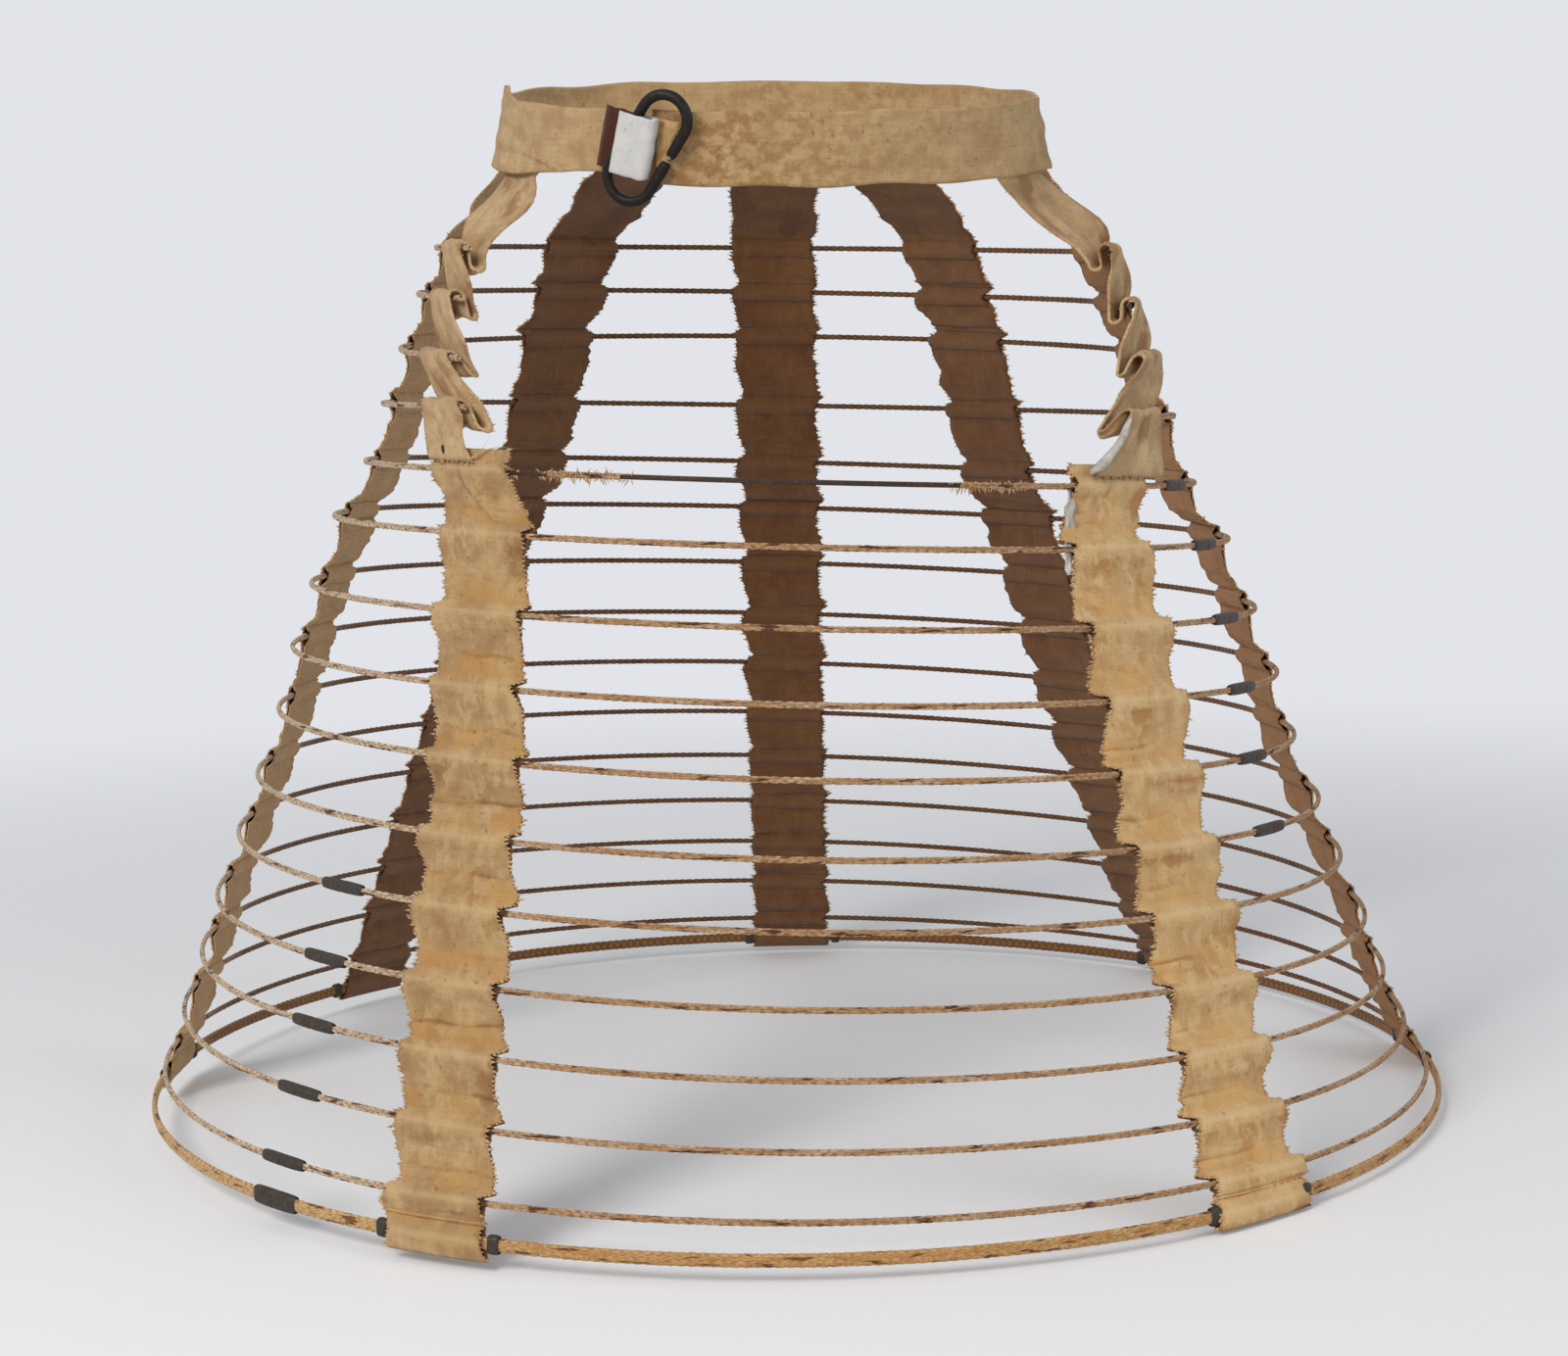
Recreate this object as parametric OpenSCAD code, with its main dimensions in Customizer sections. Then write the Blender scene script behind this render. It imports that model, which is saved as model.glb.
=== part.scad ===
// Cage crinoline: sprung steel hoops in braided cotton covers, carried in the woven pockets of
// cotton tapes that hang from a buckled waistband. The front is open above the first full hoop.
// The front faces -Y, +X is the viewer's right, +Z is up, and the origin is the waistband's middle.

/* [Waistband] */
// Width across the waistband, side to side
waist_w = 224; // [200:1:250]
// Depth of the waistband, front to back
waist_d = 170; // [150:1:200]
// Height of the waistband tape
band_h = 29; // [22:1:34]
// Thickness of the waistband
band_t = 1.6; // [1:0.1:2.4]
// Dip of the waistband's front, in degrees
waist_dip = 10.7; // [0:0.1:13]
// Dip of the waistband on the viewer's right, in degrees
waist_side_dip = 1.5; // [0:0.1:3]

/* [Buckle] */
// Distance of the buckle from the front centre, towards the viewer's left
buckle_off = 46; // [40:1:60]
// Length of the buckle ring over its ends
buckle_l = 49; // [44:0.5:56]
// Width of the buckle ring over its sides
buckle_w = 23.5; // [21:0.5:27]
// Thickness of the buckle ring's stock
buckle_stock = 4.4; // [3:0.1:5]
// Break in the ring's side
buckle_break = 3; // [1:0.1:5]
// Lean of the ring from upright, in degrees
buckle_lean = 33; // [28:1:38]

/* [Cloth tab] */
// Height of the cloth tab that holds the buckle
tab_h = 24; // [20:0.5:25]
// Thickness of the tab's cloth
tab_t = 0.9; // [0.5:0.1:1.2]
// Lean of the tab from upright, in degrees
tab_lean = 12; // [8:1:18]
// Reach of the tab's front ply, left of the buckle's middle
tab_front_l = 12; // [9:0.5:16]
// Reach of the tab's back ply, left of the buckle's middle
tab_back_l = 20; // [18:0.5:24]
// Place of the tab's fold, right of the buckle's middle
tab_fold_x = 2.6; // [2:0.1:3]

/* [Hoops] */
// Diameter of the highest half hoop
top_half_d = 276; // [250:1:290]
// Diameter of the first full hoop
first_hoop_d = 340; // [325:1:355]
// Diameter of the bottom hoop
bottom_hoop_d = 530; // [500:1:560]
// Drop from the waistband's middle to the highest half hoop
top_half_drop = 48.5; // [44:0.5:54]
// Drop from the waistband's middle to the first full hoop
first_hoop_drop = 139; // [132:0.5:150]
// Drop from the first full hoop to the last but one
skirt_drop = 239; // [220:1:270]
// Drop from the last but one hoop to the bottom hoop
hem_gap = 11; // [10:0.5:14]
// Tilt of the upper hoops, lower on the viewer's right, in degrees
hang_tilt = 3; // [0:0.1:3.4]
// Dip of the half hoops' front, in degrees
half_dip = 3.7; // [0:0.1:4.5]
// Height of a covered hoop
hoop_h = 3; // [2.6:0.1:3.6]
// Thickness of a covered hoop
hoop_t = 2; // [1.6:0.1:2.4]
// Height of the covered bottom hoop
bottom_h = 4.4; // [3.6:0.1:5]
// Thickness of the covered bottom hoop
bottom_t = 2.4; // [2:0.1:2.8]
// Wall of the braided cover
cover_t = 0.5; // [0.3:0.05:0.6]

/* [Ferrules and clips] */
// Length of the crimped ferrule that joins a hoop's ends
ferrule_l = 18.5; // [14:0.5:22]
// Wall of the ferrule
ferrule_t = 0.7; // [0.5:0.1:1]
// Diameter of the crimp dent in the ferrule's middle
crimp_d = 3; // [2:0.5:4]
// Depth of the crimp dent
crimp_deep = 0.35; // [0.1:0.05:0.4]
// Length of a hem clip
clip_l = 4; // [3:0.5:6]
// Gap between a hem clip and the tape's edge
clip_gap = 1.5; // [1:0.5:4]

/* [Tapes] */
// Width of the hanging tapes
tape_w = 38; // [28:0.5:42]
// Thickness of one ply of the double-woven tape
ply_t = 0.55; // [0.4:0.05:0.7]
// Room in a pocket beyond the hoop's face
pocket_ease = 0.9; // [0.7:0.05:1]
// Reach of a pocket above and below its hoop
pocket_lap = 2.2; // [1.8:0.1:2.6]
// Free end of the front tapes above the first full hoop
tape_tail = 9; // [7:0.5:11]
// Share of the way to plumb that the front tapes fall below each hoop
front_plumb_share = 0.45; // [0:0.05:0.8]
// Share of the way to plumb that the side and back tapes fall below each hoop
side_plumb_share = 0.75; // [0:0.05:0.9]

/* [Front straps] */
// Radius of a strap's roll over the end of a half hoop
roll_r = 3.4; // [3:0.1:4]
// Radius of the tuck below each roll
tuck_r = 2.2; // [1.8:0.1:4]
// Drop of the left strap's tucks below their half hoops
left_tuck_drop = 6; // [2.5:0.5:7]
// Drop of the right strap's tucks below their half hoops
right_tuck_drop = 4; // [2.5:0.5:7]

/* [Hidden] */
$fn = 24;
revolve_fn = 144;
half_n = 4;
full_n = 12;
last = half_n + full_n - 1;
last_drop = first_hoop_drop + skirt_drop;

// Places of the hoops as shares of the drops and diameters that they lie between
half_drop_shares = [0, 0.22, 0.455, 0.72];
half_tilt_shares = [0.65, 0.8, 0.7, 0.8];
half_dip_shares = [1, 0.95, 1, 0.15];
hoop_drop_shares = [0, 0.093, 0.208, 0.315, 0.42, 0.528, 0.625, 0.727, 0.82, 0.912, 1];
hoop_flare_shares = [0, 0.14, 0.25, 0.34, 0.41, 0.51, 0.6, 0.7, 0.775, 0.86, 0.95, 1];
hoop_tilt_shares = [1, 1, 1, 1, 1, 0.95, 0.9, 0.85, 0.8, 0.7, 0.45, 0.25];

// Clearances between pieces that seat in one another
cover_fit = 0.05;
ferrule_fit = 0.08;
seam_gap = 0.3;
butt_gap = 1;
overrun = 60;

// Largest share of the way to the next hoop that a pocket may take
pocket_max_share = 0.44;
// Shortest free run of a tape that falls slack between two pockets
slack_min_run = 4;
slack_steps = 5;
pocket_step = 30;
arc_step = 30;
stroke_steps = 6;
band_steps = 96;
spread_margin = 4;

// Ends of the first hoop's worn cover, and the ferrules' places, as azimuths from the front
worn_left_az = -26;
worn_right_az = 21;
right_ferrule_az = 64;
right_ferrule_step = 1.8;
left_ferrule_az = -48;
left_ferrule_step = 0.25;
right_ferrule_n = 6;

// Lift of the buckle ring off the waistband, and the share of its side where it has broken
ring_lift = tab_t + 2 * seam_gap;
break_share = 0.55;
band_left_end = 15;
band_right_end = 1;

// Each tape: name, azimuths at shares of its drop, first hoop, plumb share
TAPES = [
    ["left_front_tape", [[0, -41.5], [0.09, -35.5], [0.4, -31.5], [1, -27.5]], half_n, front_plumb_share],
    ["right_front_tape", [[0, 45], [0.09, 40], [0.4, 38.8], [1, 37]], half_n, front_plumb_share],
    ["left_side_tape", [[0, -103], [1, -92]], 0, side_plumb_share],
    ["right_side_tape", [[0, 101], [1, 92]], 0, side_plumb_share],
    ["left_back_tape", [[0, -140], [1, -129]], 0, side_plumb_share],
    ["right_back_tape", [[0, 146], [1, 134]], 0, side_plumb_share],
    ["centre_back_tape", [[0, 180], [1, 180]], 0, side_plumb_share],
];

// Each front strap: name, drop of its tucks, and its azimuths at the waistband, at each half hoop
// and at the first full hoop
STRAPS = [
    ["left_front_strap", left_tuck_drop, [-72, -62, -58.5, -54.5, -49, -44]],
    ["right_front_strap", right_tuck_drop, [72, 79, 79, 72, 59, 50.5]],
];

// Width of a gathered strap at the same places, as shares of the tape's width
strap_width_shares = [1, 0.76, 0.7, 0.68, 0.68, 0.85];

function two_digits(i) = str(i < 10 ? "0" : "", i);
function hoop_name(k) = k < half_n ? str("half_hoop_", k + 1) : str("hoop_", two_digits(k - half_n + 1));
HOOPS = [for (k = [0:last]) hoop_name(k)];

function lerp(a, b, s) = a + (b - a) * s;
function unit(v) = v / norm(v);
function degrees_of(len, r) = len / r * 180 / PI;

// Outward normal of a direction that runs down the cage, both as [radius, height]
function outward(d) = [-d[1], d[0]];

// Size and place of hoop k, counted from the highest half hoop
function hoop_r(k) =
    k < half_n
        ? lerp(top_half_d, first_hoop_d, k / half_n) / 2
        : lerp(first_hoop_d, bottom_hoop_d, hoop_flare_shares[k - half_n]) / 2;
function hoop_z(k) =
    k < half_n ? -lerp(top_half_drop, first_hoop_drop, half_drop_shares[k])
    : k < last ? -lerp(first_hoop_drop, last_drop, hoop_drop_shares[k - half_n])
    : -(last_drop + hem_gap);
function hoop_tilt(k) =
    hang_tilt * (k < half_n ? half_tilt_shares[k] : hoop_tilt_shares[k - half_n]);
function hoop_dip(k) = k < half_n ? half_dip * half_dip_shares[k] : 0;
function section_h(k) = k == last ? bottom_h : hoop_h;
function section_t(k) = k == last ? bottom_t : hoop_t;

// Where tilted hoop k crosses an azimuth, as [radius, height]
function hoop_rise(k, az) =
    -tan(hoop_tilt(k)) * sin(az) - tan(hoop_dip(k)) / cos(hoop_tilt(k)) * cos(az);
function hoop_point(k, az) = [0, hoop_z(k)] + hoop_r(k) * unit([1, hoop_rise(k, az)]);

// Where the waistband's lower edge crosses an azimuth, as [radius, height]
function waist_point(az) =
    let (r = 1 / norm([2 * sin(az) / waist_w, 2 * cos(az) / waist_d]) - band_t / 2)
    [
        r,
        -r * cos(az) * tan(waist_dip) / cos(waist_side_dip)
            - r * sin(az) * tan(waist_side_dip)
            - band_h / 2 / (cos(waist_dip) * cos(waist_side_dip)),
    ];

function ferrule_az(k) =
    let (i = k - half_n)
    i < right_ferrule_n
        ? right_ferrule_az - right_ferrule_step * i
        : left_ferrule_az + left_ferrule_step * i;

// Azimuth of a tape where it crosses hoop k
function tape_az(t, k) =
    lookup((hoop_z(k) - hoop_z(t[2])) / (hoop_z(last) - hoop_z(t[2])), t[1]);

// Azimuth and width of a front strap where it crosses half hoop k, or the first full hoop
function strap_az(s, k) = s[2][k + 1];
function strap_w(k) = tape_w * strap_width_shares[k + 1];

// Polygon of a strip of cloth whose middle follows the points c, h to either side
function strip_normal(c, i) =
    outward(unit(c[min(i + 1, len(c) - 1)] - c[max(i - 1, 0)]));
function strip(c, h) = concat(
    [for (i = [0:len(c) - 1]) c[i] + h * strip_normal(c, i)],
    [for (i = [len(c) - 1:-1:0]) c[i] - h * strip_normal(c, i)]
);

// The waistband's own tilted frame
module on_waist() {
    rotate([waist_dip, waist_side_dip, 0])
        children();
}

// What hangs from the waistband, cut off parallel to its lower edge
module below_waist() {
    difference() {
        children();
        on_waist()
            translate([-waist_w, -waist_w, -band_h / 2 - seam_gap])
                cube(2 * waist_w);
    }
}

// A frame on the waistband's front at the buckle: X to the right, Y up, Z out of the cloth
module on_buckle() {
    turn = asin(-2 * buckle_off / waist_w);
    on_waist()
        translate([waist_w / 2 * sin(turn), -waist_d / 2 * cos(turn), 0])
            rotate([90, 0, atan2(sin(turn) / waist_w, cos(turn) / waist_d)])
                children();
}

// Revolves the section about the cage's axis over a span of azimuth
module revolve(from_az, span) {
    rotate([0, 0, from_az - 90])
        rotate_extrude(angle = span, $fn = revolve_fn)
            children();
}

// Places children in the plane of hoop k
module at_hoop(k) {
    translate([0, 0, hoop_z(k)])
        rotate([hoop_dip(k), hoop_tilt(k), 0])
            children();
}

// A flat section with rounded edges, upright at the hoop's radius
module hoop_section(k, h, t) {
    polygon([
        for (end = [1, -1], a = [0:arc_step:180])
            [hoop_r(k) + end * t / 2 * cos(a), end * ((h - t) / 2 + t / 2 * sin(a))]
    ]);
}

// The same section, grown by a margin all round
module grown_section(k, margin) {
    hoop_section(k, section_h(k) + 2 * margin, section_t(k) + 2 * margin);
}

// Azimuths where a half hoop ends, just inside the front edges of its straps
function half_end_az(k, i) =
    strap_az(STRAPS[i], k)
        - sign(STRAPS[i][2][0]) * degrees_of(strap_w(k) / 2 - 2 * pocket_lap, hoop_r(k));

// Runs of a full hoop, as [from, span], that leave the butt gap inside its ferrule
function full_run(k) =
    let (gap = degrees_of(butt_gap, hoop_r(k)))
    [[ferrule_az(k) + gap / 2, 360 - gap]];
function half_run(k) =
    [[half_end_az(k, 1), 360 + half_end_az(k, 0) - half_end_az(k, 1)]];

// Runs of the first full hoop's cover, which is lost along the front
function worn_run(k) =
    let (run = full_run(k)[0])
    [
        [run[0], 360 + worn_left_az - run[0]],
        [worn_right_az, run[0] + run[1] - 360 - worn_right_az],
    ];
function steel_runs(k) = k < half_n ? half_run(k) : full_run(k);
function cover_runs(k) = k == half_n ? worn_run(k) : steel_runs(k);

module hoop_steel(k) {
    color("#4a3f38")
        at_hoop(k)
            for (run = steel_runs(k))
                revolve(run[0], run[1])
                    grown_section(k, -cover_t - cover_fit);
}

module hoop_cover(k) {
    color("#c29a64")
        at_hoop(k)
            for (run = cover_runs(k))
                revolve(run[0], run[1])
                    difference() {
                        grown_section(k, 0);
                        grown_section(k, -cover_t);
                    }
}

// A metal sleeve closed round the covered hoop, centred on an azimuth
module sleeve(k, az, length, wall) {
    span = degrees_of(length, hoop_r(k));
    revolve(az - span / 2, span)
        difference() {
            grown_section(k, ferrule_fit + wall);
            grown_section(k, ferrule_fit);
        }
}

// One ferrule, dented by the crimping tool on its outer face
module ferrule(k) {
    face_r = hoop_r(k) + section_t(k) / 2 + ferrule_fit + ferrule_t;
    at_hoop(k)
        difference() {
            sleeve(k, ferrule_az(k), ferrule_l, ferrule_t);
            rotate([0, 0, ferrule_az(k)])
                translate([0, crimp_deep - face_r, 0])
                    rotate([90, 0, 0])
                        cylinder(d = crimp_d, h = crimp_d);
        }
}

module ferrules() {
    color("#57524d")
        for (k = [half_n:last])
            ferrule(k);
}

module hem_clips() {
    reach = tape_w / 2 + clip_gap + clip_l / 2;
    color("#4b4642")
        at_hoop(last)
            for (t = TAPES, side = [-1, 1])
                sleeve(
                    last,
                    tape_az(t, last) + side * degrees_of(reach, hoop_r(last)),
                    clip_l,
                    ferrule_t
                );
}

// Half thickness and half length of the pocket that tape t has round hoop k, longer where the
// hoop's dip makes it climb across the tape's width
function hoop_climb(k) = tape_w / 2 * tan(hoop_dip(k));
function pocket_room(k) = section_t(k) / 2 + pocket_ease;
function pocket_reach(p, i, k) =
    let (
        up = i > 0 ? norm(p[i] - p[i - 1]) : norm(p[1] - p[0]),
        down = i < len(p) - 1 ? norm(p[i + 1] - p[i]) : up
    )
    min(
        section_h(k) / 2 + pocket_lap + hoop_climb(k),
        min(up, down) * pocket_max_share - ply_t
    );

// Points where tape t crosses its hoops, and the tape's direction at each
function tape_points(t) = [for (k = [t[2]:last]) hoop_point(k, tape_az(t, k))];
function tape_dir(p, i) =
    let (n = len(p))
    unit(p[min(i + 1, n - 1)] - p[max(min(i - 1, n - 3), 0)]);

// One face of a tape, side 1 outside and -1 inside: it swells over each pocket, falls almost
// plumb below it, and swings out to the next hoop
function bend(a, b, c, s) = lerp(lerp(a, b, s), lerp(b, c, s), s);
function pocket_face(p, i, k, side) =
    let (d = tape_dir(p, i), reach = pocket_reach(p, i, k) + ply_t)
    [
        for (a = [-90:pocket_step:90])
            p[i] + d * reach * sin(a) + outward(d) * side * (ply_t + pocket_room(k) * cos(a))
    ];
function slack_face(p, i, k, side, plumb) =
    let (
        from = p[i] + tape_dir(p, i) * (pocket_reach(p, i, k) + ply_t),
        to = p[i + 1] - tape_dir(p, i + 1) * (pocket_reach(p, i + 1, k + 1) + ply_t),
        run = norm(to - from),
        fall_share = plumb * min(1, run / slack_min_run / 2),
        corner = lerp((from + to) / 2, [from[0], to[1]], fall_share),
        line = [for (j = [0:slack_steps]) bend(from, corner, to, j / slack_steps)]
    )
    run < slack_min_run
        ? []
        : [for (j = [1:slack_steps - 1]) line[j] + strip_normal(line, j) * side * ply_t];
function tape_face(t, p, side) = [
    for (i = [0:len(p) - 1])
        each concat(
            pocket_face(p, i, t[2] + i, side),
            i < len(p) - 1 ? slack_face(p, i, t[2] + i, side, t[3]) : []
        ),
];

// Top end of a tape: a short tail, or a run up past the waistband's lower edge
function tape_top(t, p) =
    t[2] == half_n ? p[0] - tape_dir(p, 0) * tape_tail
    : let (w = waist_point(tape_az(t, 0))) w + unit(w - p[0]) * band_h / 2;
function tape_top_face(t, p, side) =
    let (top = tape_top(t, p)) [top + outward(unit(p[0] - top)) * side * ply_t];

function reversed(v) = [for (i = [len(v) - 1:-1:0]) v[i]];

module tape_profile(t) {
    p = tape_points(t);
    difference() {
        polygon(concat(
            tape_top_face(t, p, 1),
            tape_face(t, p, 1),
            reversed(tape_face(t, p, -1)),
            tape_top_face(t, p, -1)
        ));
        for (i = [0:len(p) - 1]) {
            d = tape_dir(p, i);
            k = t[2] + i;
            polygon([
                for (a = [0:pocket_step:359])
                    p[i] + d * pocket_reach(p, i, k) * cos(a) + outward(d) * pocket_room(k) * sin(a)
            ]);
        }
    }
}

// A strip cut from the revolved profile that bends from one place on the cage to the next
module bent_strip(azs, points, widths) {
    end = len(azs) - 1;
    mid = (min(azs) + max(azs)) / 2;
    middles = [for (i = [0:end]) [points[i][0] * sin(azs[i] - mid), points[i][1]]];
    line = concat(
        [middles[0] + overrun * unit(middles[0] - middles[1])],
        middles,
        [middles[end] + overrun * unit(middles[end] - middles[end - 1])]
    );
    half_ws = [for (i = [-1:end + 1]) widths[max(min(i, end), 0)] / 2];
    span = max(azs) - min(azs) + 2 * (degrees_of(tape_w, points[0][0]) + spread_margin);
    intersection() {
        revolve(mid - span / 2, span)
            children();
        rotate([90, 0, mid])
            linear_extrude(height = points[end][0] + overrun)
                polygon(concat(
                    [for (i = [0:len(line) - 1]) line[i] - [half_ws[i], 0]],
                    [for (i = [len(line) - 1:-1:0]) line[i] + [half_ws[i], 0]]
                ));
    }
}

module hanging_tape(t) {
    color("#c09a63")
        below_waist()
            bent_strip([for (k = [t[2]:last]) tape_az(t, k)], tape_points(t), [for (k = [t[2]:last]) tape_w])
                tape_profile(t);
}

// Middle line of a front strap: down from the waistband, then at each half hoop a tuck that
// turns up inside and rolls over the hoop's end
function fall(from, to) = [
    for (j = [0:stroke_steps])
        let (s = j / stroke_steps)
        [lerp(from[0], to[0], (1 - cos(180 * s)) / 2), lerp(from[1], to[1], s)]
];
function arc(c, r, from, to, step) = [for (a = [from:step:to]) c + r * [cos(a), sin(a)]];
function roll_at(s, k) = hoop_point(k, strap_az(s, k));
function tuck_at(s, k) = roll_at(s, k) - [roll_r + tuck_r, s[1]];
function strap_top(s) = waist_point(s[2][0]);
function strap_start(s) = strap_top(s) + [0, band_h / 2];
function strap_end(s) =
    let (
        top = roll_at(s, half_n),
        d = unit(hoop_point(half_n + 1, strap_az(s, half_n)) - top)
    )
    top - d * (section_h(half_n) / 2 + pocket_lap + 4 * ply_t) + outward(d) * 2 * (ply_t + seam_gap);
function strap_line(s) = concat(
    [strap_start(s)],
    [
        for (k = [0:half_n - 1])
            each concat(
                fall(
                    k == 0 ? strap_top(s) : roll_at(s, k - 1) + [roll_r, 0],
                    tuck_at(s, k) - [tuck_r, 0]
                ),
                arc(tuck_at(s, k), tuck_r, 180 + arc_step, 360, arc_step),
                arc(roll_at(s, k), roll_r, 180, arc_step, -arc_step)
            ),
    ],
    fall(roll_at(s, half_n - 1) + [roll_r, 0], strap_end(s))
);

module front_strap(s) {
    color("#c8a368")
        below_waist()
            bent_strip(
                s[2],
                concat([strap_top(s)], [for (k = [0:half_n]) roll_at(s, k)]),
                tape_w * strap_width_shares
            )
                polygon(strip(strap_line(s), ply_t));
}

// The band runs from the buckle round the back and ends under the ring
module waistband() {
    from = asin(2 * (-buckle_off + band_right_end) / waist_w);
    to = 360 + asin(2 * (-buckle_off - band_left_end) / waist_w);
    line = [
        for (i = [0:band_steps])
            let (a = lerp(from, to, i / band_steps))
            [(waist_w - band_t) / 2 * sin(a), -(waist_d - band_t) / 2 * cos(a)]
    ];
    color("#b8925c")
        on_waist()
            linear_extrude(height = band_h, center = true)
                polygon(strip(line, band_t / 2));
}

// Cloth folded round the ring's left side, its back ply lapped over the band's end
module waist_tab() {
    rise = (ring_lift + buckle_stock + seam_gap + tab_t - seam_gap) / 2;
    low = seam_gap + tab_t / 2;
    line = concat(
        [[-tab_back_l, low]],
        arc([tab_fold_x - rise, low + rise], rise, -90, 90, arc_step),
        [[-tab_front_l, low + 2 * rise]]
    );
    color("#ece8df")
        on_buckle()
            rotate([90, 0, -tab_lean])
                linear_extrude(height = tab_h, center = true)
                    polygon(strip(line, tab_t / 2));
}

// An oval ring of round stock, broken through on its right side
module buckle_ring() {
    side_x = (buckle_w - buckle_stock) / 2;
    straight = buckle_l - buckle_w;
    break_at = straight * (break_share - 1 / 2);
    color("#2f2a26")
        on_buckle()
            translate([0, 0, ring_lift + buckle_stock / 2])
                rotate([0, 0, -buckle_lean]) {
                    for (end = [0, 180])
                        rotate([0, 0, end])
                            translate([0, straight / 2])
                                rotate_extrude(angle = 180)
                                    translate([side_x, 0])
                                        circle(d = buckle_stock);
                    translate([-side_x, straight / 2])
                        rotate([90, 0, 0])
                            cylinder(d = buckle_stock, h = straight);
                    translate([side_x, straight / 2])
                        rotate([90, 0, 0])
                            cylinder(d = buckle_stock, h = straight / 2 - break_at - buckle_break / 2);
                    translate([side_x, break_at - buckle_break / 2])
                        rotate([90, 0, 0])
                            cylinder(d = buckle_stock, h = straight / 2 + break_at - buckle_break / 2);
                }
}

waistband();
waist_tab();
buckle_ring();
ferrules();
hem_clips();
for (t = TAPES)
    hanging_tape(t);
for (s = STRAPS)
    front_strap(s);
for (k = [0:last]) {
    hoop_steel(k);
    hoop_cover(k);
}
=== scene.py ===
"""Dresses the cage crinoline: tapes, straps, waistband, braided hoops, ferrules and buckle."""

import logging
import math
from dataclasses import dataclass
from enum import Enum

import bpy
import numpy as np
from mathutils import Euler, Matrix, Vector


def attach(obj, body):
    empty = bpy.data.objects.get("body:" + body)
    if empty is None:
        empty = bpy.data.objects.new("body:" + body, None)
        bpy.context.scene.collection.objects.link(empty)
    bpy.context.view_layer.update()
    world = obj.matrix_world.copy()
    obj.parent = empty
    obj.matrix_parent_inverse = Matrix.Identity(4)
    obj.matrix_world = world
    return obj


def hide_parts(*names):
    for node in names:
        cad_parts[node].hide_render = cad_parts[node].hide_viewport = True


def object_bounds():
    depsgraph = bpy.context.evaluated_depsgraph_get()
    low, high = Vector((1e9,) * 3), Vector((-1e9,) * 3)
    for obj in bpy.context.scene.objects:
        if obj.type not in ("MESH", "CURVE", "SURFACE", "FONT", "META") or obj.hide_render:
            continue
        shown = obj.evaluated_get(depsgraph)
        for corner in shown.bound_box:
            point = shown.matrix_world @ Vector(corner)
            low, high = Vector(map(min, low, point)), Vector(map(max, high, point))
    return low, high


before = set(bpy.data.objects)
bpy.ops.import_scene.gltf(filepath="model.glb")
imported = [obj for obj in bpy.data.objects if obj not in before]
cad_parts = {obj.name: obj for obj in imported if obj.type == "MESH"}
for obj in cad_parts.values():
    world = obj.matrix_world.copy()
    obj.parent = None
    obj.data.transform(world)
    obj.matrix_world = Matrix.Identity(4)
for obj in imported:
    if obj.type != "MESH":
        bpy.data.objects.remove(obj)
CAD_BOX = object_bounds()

LOG = logging.getLogger("cage")
MM = 0.001
BODY = "root"
PHOTO_W = 1600
BRAID_PITCH = 3.6
Colour = tuple[float, float, float]
Array = np.ndarray
Line = tuple[Array, Array]


def srgb(red: int, green: int, blue: int) -> Colour:
    """A colour written as it shows on a screen, as linear light.

    Args:
        red: Its red level, 0 to 255.
        green: Its green level.
        blue: Its blue level.

    Returns:
        Its three levels in linear light, 0 to 1.
    """
    linear = []
    for level in (red, green, blue):
        share = level / 255
        linear.append(share / 12.92 if share <= 0.04045 else ((share + 0.055) / 1.055) ** 2.4)
    return tuple(linear)


def lerp(a: Array | float, b: Array | float, share: Array | float) -> Array | float:
    """The value a share of the way from a to b."""
    return a + (b - a) * share


def unit(v: Array) -> Array:
    """Vectors scaled to a length of one along their last axis."""
    return v / np.maximum(np.linalg.norm(v, axis=-1, keepdims=True), 1e-9)


def ripples(seed: int, size: float, *places: Array) -> Array:
    """Smooth seeded noise, about -1 to 1.

    Args:
        seed: Fixes the pattern.
        size: Length of a ripple, in the units of the places.
        places: One to three coordinates, as arrays of one shape.

    Returns:
        The noise, in the shape of the coordinates.
    """
    rng = np.random.default_rng(seed)
    total = np.zeros(np.broadcast(*places).shape)
    waves = 9
    for _ in range(waves):
        turn = rng.normal(size=len(places))
        turn *= rng.uniform(0.6, 1.5) / max(np.linalg.norm(turn), 1e-6)
        phase = rng.uniform(0, math.tau)
        total = total + np.sin(sum(t * p for t, p in zip(turn, places)) * math.tau / size + phase)
    return total / math.sqrt(waves)


def bump_at(place: Array, middle: float, width: float) -> Array:
    """A soft hump of height one at a place."""
    return np.exp(-(((place - middle) / width) ** 2))


def lengths(points: Array) -> Array:
    """How far along a line each of its points is."""
    return np.concatenate([[0], np.cumsum(np.linalg.norm(np.diff(points, axis=0), axis=-1))])


def cloth_normal(grid: Array) -> Array:
    """Normal of a cloth at each point of its rows and columns."""
    return unit(np.cross(np.gradient(grid, axis=1), np.gradient(grid, axis=0)))


def side_edges(grid: Array) -> list[Line]:
    """Both side edges of a cloth, each with its direction out of the cloth."""
    return [(grid[:, i], unit(grid[:, i] - grid[:, j])) for i, j in ((0, 1), (-1, -2))]


def shown(name: str, data: bpy.types.ID) -> bpy.types.Object:
    """Puts a new object in the scene.

    Args:
        name: The object's name.
        data: Its mesh, lamp or camera.

    Returns:
        The object, at the origin.
    """
    made = bpy.data.objects.new(name, data)
    bpy.context.scene.collection.objects.link(made)
    return made


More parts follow.
